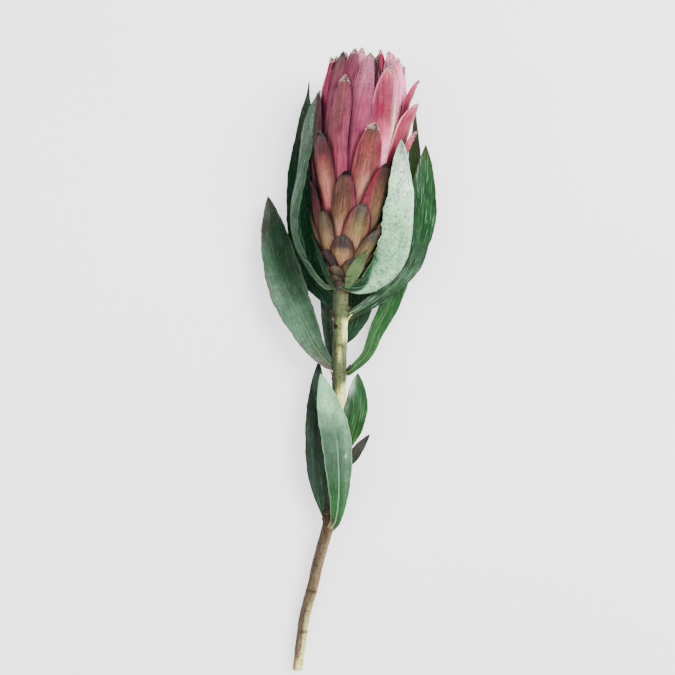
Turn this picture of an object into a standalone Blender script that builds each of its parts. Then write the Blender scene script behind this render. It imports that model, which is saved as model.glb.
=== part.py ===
"""A cut protea bloom on its leafy stem, laid down on a flat surface.

Metres, +Z up. +Y runs from the cut end to the flower head and +X to the right, seen from above.
The origin lies on the surface, under the middle of the whole thing.
Lengths below are in millimetres and angles in degrees, unless a name says otherwise.
"""

import math
import random

import bmesh
import bpy
from mathutils import Matrix, Vector

MM = 0.001
GAP = 0.3
SEED = 7
# Points nearer than this, in metres, are one point
SAME_POINT = 0.000002

# The point on the surface under the middle of the box, seen from the foot of the head
BOX_MIDDLE = (3.6, -41.9)

# The head: its foot, how far it leans to the right, and how far it rises as it lies
HEAD_BASE_HEIGHT = 20.9
HEAD_LEAN = 7.0
HEAD_RISE = 5.1
# Outer radius of the head at heights above its foot
HEAD_PROFILE = [
    (0, 6.5), (6, 10.0), (12, 13.0), (26, 18.3), (41, 21.3), (60, 24.5),
    (74, 24.3), (88, 22.0), (97, 19.5), (105, 15.8), (111, 9.5), (116, 6.0),
]

# The receptacle ends the stem and carries the outer bracts, and the flower base stands on it
RECEPTACLE_TOP = 12.0
RECEPTACLE_DEPTH = 2.6
FLOWER_BASE_TOP = 84.0
FLOWER_BASE_DEPTHS = [(12, 6.0), (20, 5.2), (40, 5.2), (60, 4.2), (76, 3.4), (84, 3.6)]
CORE_SIDES = 20

# A bract is as wide at its root as this share of its full width, and is widest above the middle
BRACT_ROOT_WIDTH = 0.66
BRACT_THICKNESS = 0.85
BRACT_CURL = 0.018
BRACT_ACROSS = 4
BRACT_STEP = 8.0
FEWEST_BRACT_STEPS = 3
BRACT_TIP_WIDTH = 0.14
BRACT_WIDEST = 0.6
# Steps crowd towards the tip, whose outline turns fastest
TIP_CROWDING = 1.5

# One tier of bracts a line: root height, root depth, tip height, width, pitch round the head,
# and then the bracts on the upper side, each as azimuth, tip height, width and flare
OUTER_TIERS = [
    (0.5, 2.6, 11.0, 8.5, 42, [(-20, 9, 8.0, 0), (20, 13, 8.5, 0)]),
    (1.0, 3.2, 22.0, 11.5, 50, [(-40, 15.5, 9.0, 0), (-6, 23, 12.0, 0), (49, 28, 11.5, 0)]),
    (3.0, 3.8, 36.0, 12.5, 50, [(-39, 34, 10.0, 0), (15, 38, 13.5, 0)]),
    (8.0, 4.0, 54.0, 12.5, 47, [(-68, 47.5, 12.0, 0), (-10, 51, 12.0, 0), (34, 57, 11.5, 0)]),
]
INNER_TIERS = [
    (26.0, 5.8, 71.0, 12.5, 49, [(-43, 67.5, 10.5, 0), (14, 73, 12.5, 0), (63, 71, 11.5, 0)]),
    (42.0, 5.4, 91.0, 13.0, 44, [
        (-74, 87, 11.0, 0), (-27, 93, 10.5, 0), (31, 99.5, 13.0, 0), (84, 86, 12.0, 3.2),
    ]),
    (58.0, 5.2, 106.0, 10.0, 25, [
        (-81, 103.5, 9.0, 0), (-54, 105, 9.0, 0), (-27, 107, 8.5, 0), (-4, 105, 10.0, 0),
        (19, 106, 9.0, 0), (40, 108.5, 9.0, 0), (62, 108, 9.0, 0), (84, 96, 10.0, 4.0),
    ]),
]

# Florets, closed, inside the ring of inner bracts. A ring is its radius, tip height and count.
# The bed is the cone under them, as rise and radius.
FLORET_FOOT = FLOWER_BASE_TOP + GAP
FLORET_RINGS = [(14.2, 97, 15), (10.2, 102, 11), (6.2, 105, 7), (2.0, 107, 3)]
FLORET_RADIUS = 2.3
FLORET_TIP_RADIUS = 0.5
FLORET_ROOT_SUNK = 3.0
FLORET_BED = [(0.0, 15.0), (12.0, 11.5), (16.0, 4.0)]
FLORET_SIDES = 6
FLORET_LEAN = 0.42
# Turns each ring a little from the one outside it
RING_OFFSET = 0.11

# The stem's middle line, from the cut end to the foot of the head
STEM_ROUTE = [
    (-21.7, -191.5), (-19.9, -176.0), (-17.9, -162.6), (-14.3, -149.4), (-11.3, -136.2),
    (-6.3, -117.5), (-3.8, -100.0), (-1.9, -80.0), (-1.0, -55.4), (-0.7, -36.1), (-0.2, -16.8),
    (0.0, -0.3),
]
STEM_CUT_HEIGHT = 2.6
STEM_RADIUS_AT_CUT = 2.5
STEM_RADIUS_AT_HEAD = 3.7
STEM_SIDES = 12
STEM_STEP = 5.0
# Scars where leaves were: distance along Y from the head's foot, and how far each stands out
SCARS = [(-3.4, 0.7), (-40.0, 0.9), (-79.0, 0.7), (-115.0, 0.9), (-150.0, 0.4)]
SCAR_REACH = 1.6
SCAR_SHOULDER = 2.4
SCAR_CLEAR = 3.5

# Widths at the base and at the tip are shares of a leaf's full width
LEAF_THICKNESS = 0.7
LEAF_BASE_WIDTH = 0.26
LEAF_TIP_WIDTH = 0.05
LEAF_ACROSS = 4
ROLLED_LEAF_ACROSS = 6
ROLLED_CUP = 45
LEAF_STEP = 8.0
FEWEST_LEAF_STEPS = 6

# A leaf: name, full width, where it is widest, wave height, waves, then its points.
# A point is x, y, z, turn and cup. A positive turn lowers the right edge. The cup is half the
# angle that the blade bends through from edge to edge, and a positive one lifts both edges.
LEAVES = [
    ("leaf_left_long", 18.5, 0.50, 0.5, 3, [
        (-3.4, -39.0, 17.4, 0, 10), (-6.2, -37.6, 17.6, -3, 12), (-12.4, -30.2, 17.2, -5, 14),
        (-17.3, -21.0, 16.6, -6, 14), (-24.8, -4.5, 15.4, -6, 14), (-31.3, 18.4, 13.4, -6, 12),
        (-36.0, 44.4, 10.6, -4, 8)]),
    ("leaf_head_back_left", 17.0, 0.45, 0.5, 3, [
        (-2.8, -9.6, 17.6, 0, 10), (-9.0, -3.5, 11.5, 6, 14), (-16.0, 7.6, 6.4, 12, 16),
        (-19.4, 30.0, 3.8, 22, 18), (-20.4, 51.5, 4.4, 32, 20), (-18.4, 75.0, 8.4, 40, 20),
        (-15.2, 98.5, 17.0, 45, 16)]),
    ("leaf_head_left", 20.0, 0.45, 0.4, 3, [
        (-3.2, -3.2, 21.8, -15, -15), (-7.6, -1.4, 22.6, -35, -35), (-14.2, 4.8, 24.2, -70, -60),
        (-20.0, 14.0, 25.0, -95, -75), (-23.4, 25.0, 25.2, -102, -78), (-24.5, 37.5, 25.2, -102, -74),
        (-23.6, 49.0, 26.0, -96, -60), (-21.4, 62.0, 27.5, -88, -42), (-17.9, 77.0, 29.5, -80, -30),
        (-12.4, 91.5, 33.0, -70, -20)]),
    ("leaf_head_right", 23.0, 0.50, 0.8, 3, [
        (3.4, -4.3, 22.0, 5, -15), (9.0, -3.0, 22.2, 15, -30), (16.2, 1.2, 23.8, 26, -45),
        (23.4, 7.0, 26.0, 38, -52), (28.6, 15.4, 28.4, 45, -54), (30.8, 25.0, 31.0, 47, -52),
        (30.8, 36.0, 35.0, 46, -48), (29.0, 49.0, 41.4, 42, -38), (26.8, 63.4, 46.5, 36, -20)]),
    ("leaf_right_sweep", 14.0, 0.62, 0.9, 4, [
        (3.2, -15.4, 19.0, 0, 12), (6.6, -13.4, 18.8, -10, 14), (15.6, -7.8, 17.8, -30, 16),
        (27.0, 0.8, 16.4, -40, 16), (34.8, 12.2, 15.6, -36, 16), (39.4, 30.0, 15.2, -25, 16),
        (40.4, 50.0, 16.4, -18, 14), (40.8, 67.6, 19.0, -14, 10)]),
    ("leaf_right_back", 12.5, 0.55, 0.6, 4, [
        (2.6, -42.6, 16.2, 0, 8), (5.4, -40.6, 15.4, 0, 8), (12.6, -33.6, 12.8, -5, 10),
        (17.8, -21.5, 9.8, -8, 10), (24.4, -8.4, 6.4, -10, 10), (30.4, 12.0, 2.6, -12, 10),
        (35.0, 37.0, 1.4, -14, 10), (38.4, 60.6, 3.5, -16, 10), (38.6, 88.0, 8.0, -15, 8)]),
    ("leaf_back_right", 18.5, 0.32, 0.3, 3, [
        (1.4, -26.6, 16.4, 0, 6), (4.6, -21.6, 13.0, 0, 6), (7.6, -11.0, 7.0, 0, 6),
        (8.2, 2.0, 2.2, 0, 6), (8.2, 16.0, -1.0, 0, 6), (8.2, 34.0, -1.5, 0, 6),
        (8.6, 52.0, -1.5, 0, 6), (9.0, 70.0, -1.0, 0, 6)]),
    ("leaf_back_left", 9.0, 0.45, 0.4, 3, [
        (-2.4, -41.0, 14.4, 5, 10), (-4.0, -35.5, 13.0, 8, 10), (-5.0, -26.5, 11.4, 8, 10),
        (-5.6, -11.7, 8.8, 8, 10), (-6.4, 2.0, 5.4, 6, 8), (-7.2, 17.5, 2.8, 3, 6),
        (-7.6, 31.0, 2.2, 0, 4)]),
    ("leaf_low_left", 12.5, 0.45, 0.4, 3, [
        (-7.4, -113.6, 10.6, 5, 10), (-8.8, -108.0, 10.8, 8, 12), (-10.9, -95.2, 11.4, 12, 14),
        (-11.6, -75.6, 12.4, 14, 14), (-11.8, -56.0, 12.6, 14, 12), (-10.8, -36.2, 12.2, 12, 8)]),
    ("leaf_low_front", 14.5, 0.60, 0.4, 3, [
        (-5.2, -119.0, 13.4, 0, -8), (-2.6, -114.5, 14.8, 0, -12), (-1.0, -99.0, 18.0, 0, -14),
        (-2.2, -74.4, 21.0, 0, -14), (-6.1, -57.4, 22.0, -3, -12), (-9.8, -42.5, 21.5, -6, -8)]),
    ("leaf_low_right", 9.5, 0.50, 0.9, 3, [
        (1.2, -80.4, 14.0, 0, 12), (4.1, -76.0, 14.8, -8, 16), (6.8, -67.6, 16.4, -12, 18),
        (8.7, -55.5, 17.8, -12, 16), (8.0, -42.4, 18.6, -8, 12)]),
    ("leaf_low_small", 5.4, 0.40, 0.3, 2, [
        (0.2, -89.8, 12.4, 0, 8), (4.2, -85.6, 12.4, -8, 12), (9.0, -79.2, 12.6, -12, 12),
        (14.0, -72.6, 12.8, -12, 8)]),
    ("leaf_bract_right", 7.0, 0.45, 0.2, 2, [
        (2.6, -5.0, 23.6, 15, -10), (4.2, 0.2, 28.4, 18, -16), (9.0, 8.8, 35.4, 24, -18),
        (13.0, 16.2, 39.0, 28, -12)]),
    ("leaf_bract_left", 2.8, 0.45, 0.1, 2, [
        (-2.4, -4.2, 23.8, -15, -8), (-5.0, 0.5, 27.0, -25, -10), (-9.4, 10.0, 29.6, -38, -10),
        (-13.0, 20.9, 30.6, -45, -8)]),
]

COLOURS = {
    "stem": (0.46, 0.47, 0.28),
    "bracts_outer": (0.35, 0.27, 0.17),
    "bracts_inner": (0.72, 0.25, 0.28),
    "florets": (0.20, 0.06, 0.12),
    "leaf_dark": (0.05, 0.17, 0.10),
    "leaf_blue": (0.16, 0.33, 0.24),
    "leaf_pale": (0.48, 0.60, 0.50),
    "leaf_bright": (0.13, 0.35, 0.12),
    "leaf_purple": (0.15, 0.12, 0.13),
}
LEAF_COLOURS = {
    "leaf_left_long": "leaf_blue",
    "leaf_head_back_left": "leaf_dark",
    "leaf_head_left": "leaf_dark",
    "leaf_head_right": "leaf_pale",
    "leaf_right_sweep": "leaf_bright",
    "leaf_right_back": "leaf_bright",
    "leaf_back_right": "leaf_blue",
    "leaf_back_left": "leaf_dark",
    "leaf_low_left": "leaf_dark",
    "leaf_low_front": "leaf_pale",
    "leaf_low_right": "leaf_bright",
    "leaf_low_small": "leaf_purple",
    "leaf_bract_right": "leaf_bright",
    "leaf_bract_left": "leaf_bright",
}


def clear_scene():
    for old in list(bpy.data.objects):
        bpy.data.objects.remove(old, do_unlink=True)


def new_collection(name):
    made = bpy.data.collections.new(name)
    bpy.context.scene.collection.children.link(made)
    return made


def plain_material(name, colour, roughness):
    made = bpy.data.materials.new(name)
    made.use_nodes = True
    shader = made.node_tree.nodes["Principled BSDF"]
    shader.inputs["Base Color"].default_value = (*colour, 1.0)
    shader.inputs["Roughness"].default_value = roughness
    shader.inputs["Metallic"].default_value = 0.0
    return made


def new_object(name, mesh, collection):
    made = bpy.data.objects.new(name, mesh)
    collection.objects.link(made)
    return made


def bake_modifiers(piece):
    """Gives piece the mesh that its modifiers make, and removes them."""
    graph = bpy.context.evaluated_depsgraph_get()
    made = bpy.data.meshes.new_from_object(piece.evaluated_get(graph))
    piece.modifiers.clear()
    piece.data = made


def blend_between(pairs, at):
    """Reads a smooth line through (place, value) pairs, flat beyond both ends."""
    if at <= pairs[0][0]:
        return pairs[0][1]
    if at >= pairs[-1][0]:
        return pairs[-1][1]
    last = len(pairs) - 1
    for i in range(last):
        (x0, y0), (x1, y1) = pairs[i], pairs[i + 1]
        if at <= x1:
            before = pairs[max(i - 1, 0)]
            after = pairs[min(i + 2, last)]
            slope0 = (y1 - before[1]) / (x1 - before[0])
            slope1 = (after[1] - y0) / (after[0] - x0)
            span = x1 - x0
            u = (at - x0) / span
            return (
                (2 * u**3 - 3 * u**2 + 1) * y0
                + (u**3 - 2 * u**2 + u) * span * slope0
                + (3 * u**2 - 2 * u**3) * y1
                + (u**3 - u**2) * span * slope1
            )
    return pairs[-1][1]


def smooth_route(points, at):
    """The place, as a tuple, at 0 to 1 along a smooth curve through points, by their own distances."""
    places = [0.0]
    for a, b in zip(points, points[1:]):
        places.append(places[-1] + math.dist(a[:3], b[:3]))
    here = at * places[-1]
    return tuple(
        blend_between([(p, point[i]) for p, point in zip(places, points)], here)
        for i in range(len(points[0]))
    )


def to_row(x, y, z):
    """Millimetres from the head's foot to metres in the part's own frame."""
    return Vector((x - BOX_MIDDLE[0], y - BOX_MIDDLE[1], z)) * MM


def head_frame():
    """Foot, axis, upper side and right side of the head, in millimetres from the foot's plan."""
    lean = math.radians(HEAD_LEAN)
    rise = math.radians(HEAD_RISE)
    axis = Vector((math.sin(lean) * math.cos(rise), math.cos(lean) * math.cos(rise), math.sin(rise)))
    upper = (Vector((0, 0, 1)) - axis * axis.z).normalized()
    right = axis.cross(upper)
    return Vector((0, 0, HEAD_BASE_HEIGHT)), axis, upper, right


def on_head(height, azimuth, radius):
    """A place on the head, in the part's own frame. Azimuth 0 is its upper side, positive to the right."""
    foot, axis, upper, right = head_frame()
    turn = math.radians(azimuth)
    place = foot + axis * height + (upper * math.cos(turn) + right * math.sin(turn)) * radius
    return to_row(*place)


def head_radius(height):
    return blend_between(HEAD_PROFILE, height)


def shaped_grid(name, across, along, place, collection):
    """An open sheet of triangles: place(side, t) gives each point, side -1 to 1 and t 0 to 1."""
    sheet = bmesh.new()
    bmesh.ops.create_grid(sheet, x_segments=across, y_segments=along, size=1.0)
    for vertex in sheet.verts:
        vertex.co = place(vertex.co.x, (vertex.co.y + 1) / 2)
    bmesh.ops.triangulate(sheet, faces=sheet.faces[:], quad_method="FIXED")
    mesh = bpy.data.meshes.new(name)
    sheet.to_mesh(mesh)
    sheet.free()
    return new_object(name, mesh, collection)


def thicken(sheet, thickness):
    """Gives the sheet its thickness, on the side away from its normals."""
    solid = sheet.modifiers.new("Thickness", "SOLIDIFY")
    solid.thickness = thickness * MM
    solid.offset = -1.0
    bake_modifiers(sheet)


def bract_half_width(t, width):
    """Broad in its upper half, drawn in at the root, and ending in a short blunt point."""
    if t < BRACT_WIDEST:
        share = BRACT_ROOT_WIDTH + (1 - BRACT_ROOT_WIDTH) * math.sin(math.pi / 2 * t / BRACT_WIDEST)
    else:
        u = (t - BRACT_WIDEST) / (1 - BRACT_WIDEST)
        share = max((1 - u**2.4) ** 0.7, BRACT_TIP_WIDTH)
    return width / 2 * share


def make_bract(number, tier, azimuth, tip, width, flare, collection):
    root, root_depth = tier[0], tier[1]

    def place(side, step):
        t = 1 - (1 - step) ** TIP_CROWDING
        height = root + (tip - root) * t
        off = side * bract_half_width(t, width)
        radius = head_radius(height) - root_depth * (1 - t) - BRACT_CURL * off * off + flare * t**4
        return on_head(height, azimuth + math.degrees(off / max(radius, 4.0)), radius)

    steps = max(round((tip - root) / BRACT_STEP), FEWEST_BRACT_STEPS)
    bract = shaped_grid(f"bract_{number}", BRACT_ACROSS, steps, place, collection)
    thicken(bract, BRACT_THICKNESS)
    return bract


def tier_bracts(tier, draws):
    """The listed bracts on the upper side, then even steps round the under side to close the ring."""
    tip, width, pitch, listed = tier[2], tier[3], tier[4], tier[5]
    first, last = listed[0][0], listed[-1][0]
    open_angle = 360 - (last - first)
    count = max(round(open_angle / pitch) - 1, 1)
    step = open_angle / (count + 1)
    made = list(listed)
    for i in range(count):
        azimuth = last + step * (i + 1) + draws.uniform(-3, 3)
        made.append((azimuth, tip + draws.uniform(-2, 2), width * draws.uniform(0.95, 1.05), 0))
    return made


def turned_core(name, profile, collection):
    """A solid of revolution round the head's axis, from (height, radius) pairs, foot first."""
    mesh = bpy.data.meshes.new(name)
    outline = [(0.0, profile[-1][0])]
    outline += [(radius, height) for height, radius in reversed(profile)]
    outline += [(0.0, profile[0][0])]
    points = [(x * MM, 0.0, z * MM) for x, z in outline]
    mesh.from_pydata(points, [(i, i + 1) for i in range(len(points) - 1)], [])
    core = new_object(name, mesh, collection)
    turn = core.modifiers.new("Turn", "SCREW")
    turn.steps = CORE_SIDES
    turn.render_steps = CORE_SIDES
    turn.use_merge_vertices = True
    turn.merge_threshold = SAME_POINT
    bake_modifiers(core)
    foot, axis, upper, right = head_frame()
    turned = Matrix((right, -upper, axis)).transposed().to_4x4()
    core.data.transform(Matrix.Translation(to_row(*foot)) @ turned)
    return core


def drop_scraps(piece):
    """Removes what the union sealed in or cut loose, so that the piece is one body."""
    body = bmesh.new()
    body.from_mesh(piece.data)
    bmesh.ops.remove_doubles(body, verts=body.verts[:], dist=SAME_POINT)
    bmesh.ops.dissolve_degenerate(body, edges=body.edges[:], dist=SAME_POINT)
    bmesh.ops.triangulate(body, faces=body.faces[:])
    waiting = set(body.faces)
    shells = []
    while waiting:
        shell = {waiting.pop()}
        rim = list(shell)
        while rim:
            for edge in rim.pop().edges:
                for other in edge.link_faces:
                    if other in waiting:
                        waiting.discard(other)
                        shell.add(other)
                        rim.append(other)
        shells.append(shell)
    shells.sort(key=len)
    for shell in shells[:-1]:
        bmesh.ops.delete(body, geom=list(shell), context="FACES")
    loose = [vertex for vertex in body.verts if not vertex.link_faces]
    bmesh.ops.delete(body, geom=loose, context="VERTS")
    body.to_mesh(piece.data)
    body.free()


def join_all(core, pieces):
    """One union of the core with every piece in the collection, whose objects are then removed."""
    union = core.modifiers.new("Union", "BOOLEAN")
    union.operation = "UNION"
    union.operand_type = "COLLECTION"
    union.collection = pieces
    union.solver = "MANIFOLD"
    bake_modifiers(core)
    for piece in list(pieces.objects):
        bpy.data.objects.remove(piece, do_unlink=True)
    bpy.data.collections.remove(pieces)
    drop_scraps(core)


def make_bract_node(name, core_profile, tiers, draws, collection):
    core = turned_core(name, core_profile, collection)
    pieces = new_collection(f"{name}_pieces")
    number = 0
    for tier in tiers:
        for azimuth, tip, width, flare in tier_bracts(tier, draws):
            make_bract(number, tier, azimuth, tip, width, flare, pieces)
            number += 1
    join_all(core, pieces)
    return core


def receptacle_profile():
    heights = [GAP, 3.0, 6.0, 9.0, RECEPTACLE_TOP]
    return [(h, head_radius(h) - RECEPTACLE_DEPTH) for h in heights]


def flower_base_profile():
    heights = [RECEPTACLE_TOP + GAP, 18, 26, 34, 42, 52, 62, 74, FLOWER_BASE_TOP]
    return [(h, head_radius(h) - blend_between(FLOWER_BASE_DEPTHS, h)) for h in heights]


def make_florets(collection):
    """Closed florets: a short cone, and each pointed floret standing out of it."""
    bed = [(FLORET_FOOT + rise, radius) for rise, radius in FLORET_BED]
    core = turned_core("florets", bed, collection)
    pieces = new_collection("florets_pieces")
    foot, axis, upper, right = head_frame()
    for radius, tip, count in FLORET_RINGS:
        for i in range(count):
            turn = 2 * math.pi * (i + radius * RING_OFFSET) / count
            out = right * math.cos(turn) + upper * math.sin(turn)
            low = foot + axis * (FLORET_FOOT + FLORET_ROOT_SUNK) + out * radius
            high = foot + axis * tip + out * radius * (1 - FLORET_LEAN)
            make_floret(low, high, pieces)
    join_all(core, pieces)
    return core


def make_floret(low, high, collection):
    length = (high - low).length
    body = bmesh.new()
    bmesh.ops.create_cone(
        body, cap_ends=True, segments=FLORET_SIDES, radius1=FLORET_RADIUS * MM,
        radius2=FLORET_TIP_RADIUS * MM, depth=length * MM,
    )
    direction = (high - low).normalized()
    middle = (high + low) / 2
    body.transform(
        Matrix.Translation(to_row(*middle)) @ direction.to_track_quat("Z", "Y").to_matrix().to_4x4()
    )
    mesh = bpy.data.meshes.new("floret")
    body.to_mesh(mesh)
    body.free()
    return new_object("floret", mesh, collection)


def stem_height(y):
    """Height of the stem's middle line, which falls evenly from the head's foot to the cut end."""
    share = (y - STEM_ROUTE[0][1]) / (STEM_ROUTE[-1][1] - STEM_ROUTE[0][1])
    return STEM_CUT_HEIGHT + (HEAD_BASE_HEIGHT - STEM_CUT_HEIGHT) * share


def stem_radius(y):
    share = (y - STEM_ROUTE[0][1]) / (STEM_ROUTE[-1][1] - STEM_ROUTE[0][1])
    radius = STEM_RADIUS_AT_CUT + (STEM_RADIUS_AT_HEAD - STEM_RADIUS_AT_CUT) * share
    for place, rise in SCARS:
        radius += rise * math.exp(-(((y - place) / SCAR_REACH) ** 2))
    return radius


def stem_stations():
    """Even steps along Y, with each scar's middle and both its shoulders added."""
    first, last = STEM_ROUTE[0][1], STEM_ROUTE[-1][1]
    count = round((last - first) / STEM_STEP)
    stations = [first + (last - first) * i / count for i in range(count + 1)]
    for place, _ in SCARS:
        stations = [y for y in stations if abs(y - place) > SCAR_CLEAR or y in (first, last)]
        stations += [place - SCAR_SHOULDER, place, place + SCAR_SHOULDER]
    return sorted(stations)


def stem_tube(name, extra, collection):
    """The stem as a bevelled curve made into a mesh, fatter by extra all round."""
    curve = bpy.data.curves.new(name, "CURVE")
    curve.dimensions = "3D"
    curve.bevel_depth = MM
    curve.bevel_resolution = STEM_SIDES // 4 - 1
    curve.use_fill_caps = True
    line = curve.splines.new("POLY")
    across = [(y, x) for x, y in STEM_ROUTE]
    stations = stem_stations()
    stations[0] -= extra
    stations[-1] += extra
    line.points.add(len(stations) - 1)
    for point, y in zip(line.points, stations):
        point.co = (*to_row(blend_between(across, y), y, stem_height(y)), 1.0)
        point.radius = stem_radius(y) + extra
    guide = new_object(f"{name}_line", curve, collection)
    graph = bpy.context.evaluated_depsgraph_get()
    mesh = bpy.data.meshes.new_from_object(guide.evaluated_get(graph))
    bpy.data.objects.remove(guide, do_unlink=True)
    body = bmesh.new()
    body.from_mesh(mesh)
    bmesh.ops.remove_doubles(body, verts=body.verts[:], dist=SAME_POINT)
    bmesh.ops.recalc_face_normals(body, faces=body.faces[:])
    body.to_mesh(mesh)
    body.free()
    return new_object(name, mesh, collection)


def leaf_half_width(t, width, widest):
    """Narrow at the base, broadest at widest, and drawn out to a point."""
    if t < widest:
        u = t / widest
        share = LEAF_BASE_WIDTH + (1 - LEAF_BASE_WIDTH) * math.sin(math.pi / 2 * u) ** 1.15
    else:
        u = (t - widest) / (1 - widest)
        share = max((1 - u**2) ** 0.85, LEAF_TIP_WIDTH)
    return width / 2 * share


def leaf_place(leaf, side, t):
    """A point of the leaf's upper face, in millimetres from the head's foot."""
    _, width, widest, wave, waves, points = leaf
    x, y, z, turn, cup = smooth_route(points, t)
    ahead = Vector(smooth_route(points, min(t + 0.01, 1.0))[:3])
    behind = Vector(smooth_route(points, max(t - 0.01, 0.0))[:3])
    along = (ahead - behind).normalized()
    right = along.cross(Vector((0, 0, 1))).normalized()
    upward = right.cross(along)
    lean = math.radians(turn)
    across = right * math.cos(lean) - upward * math.sin(lean)
    normal = upward * math.cos(lean) + right * math.sin(lean)
    half = leaf_half_width(t, width, widest)
    cup = math.radians(cup)
    off = half * math.sin(cup * side) / cup
    lift = half * (1 - math.cos(cup * side)) / cup
    ripple = wave * math.sin(2 * math.pi * waves * t + side) * side * side * math.sin(math.pi * t)
    place = Vector((x, y, z)) + across * off + normal * (lift + ripple)
    place.z = max(place.z, LEAF_THICKNESS)
    return place


def make_leaf(leaf, cutter, collection):
    """A leaf is a thickened sheet, pressed flat where it meets the surface and cut clear of the stem."""
    points = leaf[-1]
    length = sum(math.dist(a[:3], b[:3]) for a, b in zip(points, points[1:]))
    steps = max(round(length / LEAF_STEP), FEWEST_LEAF_STEPS)
    rolled = max(abs(point[4]) for point in points) > ROLLED_CUP
    across = ROLLED_LEAF_ACROSS if rolled else LEAF_ACROSS
    blade = shaped_grid(
        leaf[0], across, steps, lambda side, t: to_row(*leaf_place(leaf, side, t)), collection
    )
    thicken(blade, LEAF_THICKNESS)
    cut = blade.modifiers.new("Seat", "BOOLEAN")
    cut.operation = "DIFFERENCE"
    cut.object = cutter
    cut.solver = "EXACT"
    bake_modifiers(blade)
    drop_scraps(blade)
    return blade


def finish(piece, colour, roughness):
    piece.data.materials.clear()
    piece.data.materials.append(plain_material(piece.name, COLOURS[colour], roughness))
    piece.data.shade_smooth()
    piece.data.set_sharp_from_angle(angle=math.radians(40))


def build():
    clear_scene()
    draws = random.Random(SEED)
    bloom = new_collection("protea_bloom")
    cutters = new_collection("cutters")

    stem = stem_tube("stem", 0.0, bloom)
    finish(stem, "stem", 0.6)

    seat = stem_tube("stem_seat", GAP, cutters)
    seat.hide_render = True
    seat.display_type = "WIRE"

    outer = make_bract_node("bracts_outer", receptacle_profile(), OUTER_TIERS, draws, bloom)
    finish(outer, "bracts_outer", 0.65)
    inner = make_bract_node("bracts_inner", flower_base_profile(), INNER_TIERS, draws, bloom)
    finish(inner, "bracts_inner", 0.6)
    finish(make_florets(bloom), "florets", 0.8)

    for leaf in LEAVES:
        finish(make_leaf(leaf, seat, bloom), LEAF_COLOURS[leaf[0]], 0.5)


build()
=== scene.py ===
"""Looks of the cut protea bloom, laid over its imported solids.

The shapes follow the same named values as the part: millimetres from the foot of the head, which
BOX_MIDDLE and MM turn into the part's own frame. Colours are sRGB values from 0 to 255. A line of
colours is written as names with their places along it, such as "tan 0.2, olive 0.8".
"""

import math
import random

import bpy
import numpy as np
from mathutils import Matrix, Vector


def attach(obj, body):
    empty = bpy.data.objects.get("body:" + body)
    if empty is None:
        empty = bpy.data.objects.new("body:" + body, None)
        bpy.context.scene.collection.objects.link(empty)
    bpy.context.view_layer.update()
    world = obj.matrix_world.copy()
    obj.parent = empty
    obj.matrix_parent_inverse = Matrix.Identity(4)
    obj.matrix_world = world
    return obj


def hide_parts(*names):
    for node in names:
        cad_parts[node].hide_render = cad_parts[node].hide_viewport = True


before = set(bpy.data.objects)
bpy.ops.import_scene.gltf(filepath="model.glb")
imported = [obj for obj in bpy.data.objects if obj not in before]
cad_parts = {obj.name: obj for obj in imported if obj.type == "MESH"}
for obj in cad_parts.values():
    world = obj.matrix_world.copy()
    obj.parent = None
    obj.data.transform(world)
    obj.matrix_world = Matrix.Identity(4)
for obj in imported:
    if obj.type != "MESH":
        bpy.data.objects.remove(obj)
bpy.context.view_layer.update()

MM = 0.001
BOX_MIDDLE = (3.6, -41.9)
SEED = 7
# One turn, as the seeded draws take it, and how far apart two blades' patterns may start
TURN = 6.28
PATTERN_RANGE = 90
# Edges sharper than this, in degrees, stay crisp
SHARP_ANGLE = 70

# The head
HEAD_BASE_HEIGHT = 20.9
HEAD_LEAN = 7.0
HEAD_RISE = 5.1
HEAD_PROFILE = [
    (0, 6.5), (6, 10.0), (12, 13.0), (26, 18.3), (41, 21.3), (60, 24.5),
    (74, 24.3), (88, 22.0), (97, 19.5), (105, 15.8), (111, 9.5), (116, 6.0),
]
CORE_PROFILE = [
    (0.3, 3.0), (3, 4.5), (6, 6.0), (12, 7.0), (20, 10.2), (40, 14.8), (60, 18.0), (74, 18.0),
    (84, 16.0), (90, 12.0), (94, 4.0),
]
CORE_RINGS = 40
CORE_SIDES = 64

# Outlines of blades: widths at the base and the tip as shares of the full width, and the powers
# that shape the rise to the widest place and the belly and point beyond it
BRACT_OUTLINE = dict(base=0.9, tip=0.06, rise=1, belly=2.6, point=0.66)
LEAF_OUTLINE = dict(base=0.26, tip=0.02, rise=1.15, belly=2, point=0.85)

# Bracts
BRACT_WIDEST = 0.6
BRACT_CURL = 0.018
BRACT_KEEL = 0.35
BRACT_THICKNESS = 0.8
BRACT_EDGE_THICKNESS = 0.22
BRACT_ACROSS = 22
BRACT_ALONG = 60
TIP_CROWDING = 1.5
# How far an inner bract runs on below its root, hidden in the head, as a share of its length
HIDDEN_ROOT = 0.32
# The least radius that a bract bends round, and the strength of its edges' tints
LEAST_RADIUS = 4.0
BRACT_EDGE_TINT = 0.8
# How dark a blade's under face is painted against its upper one, as painted shade
BRACT_UNDER_SHADE = 0.75
FLAKE_UNDER_SHADE = 0.7
# How much a bract is darkened beside those that overlap it, and how far
CREVICE_SHADE = 0.45
CREVICE_REACH = 0.65
CREVICE_DARKEST = 0.42

# Down on bracts: counts of hairs on plain and woolly looks, the shares of the bract between which
# they grow, their lengths on outer and inner bracts, and their least and greatest radius
TUFT_HAIRS = (150, 260)
TUFT_SHARES = (0.9, 0.999)
TUFT_LENGTHS = (0.8, 1.3)
TUFT_RADII = (0.035, 0.06)
FRINGE_HAIRS = (110, 150)
FRINGE_SHARES = (0.84, 0.995)
FRINGE_LENGTH = 1.0
FRINGE_RADII = (0.03, 0.055)
# Looks whose down is woolly
WOOLLY = ("furry_red", "grey_tip", "red_stripe", "black_tip", "crimson_left", "crimson_right")
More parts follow.
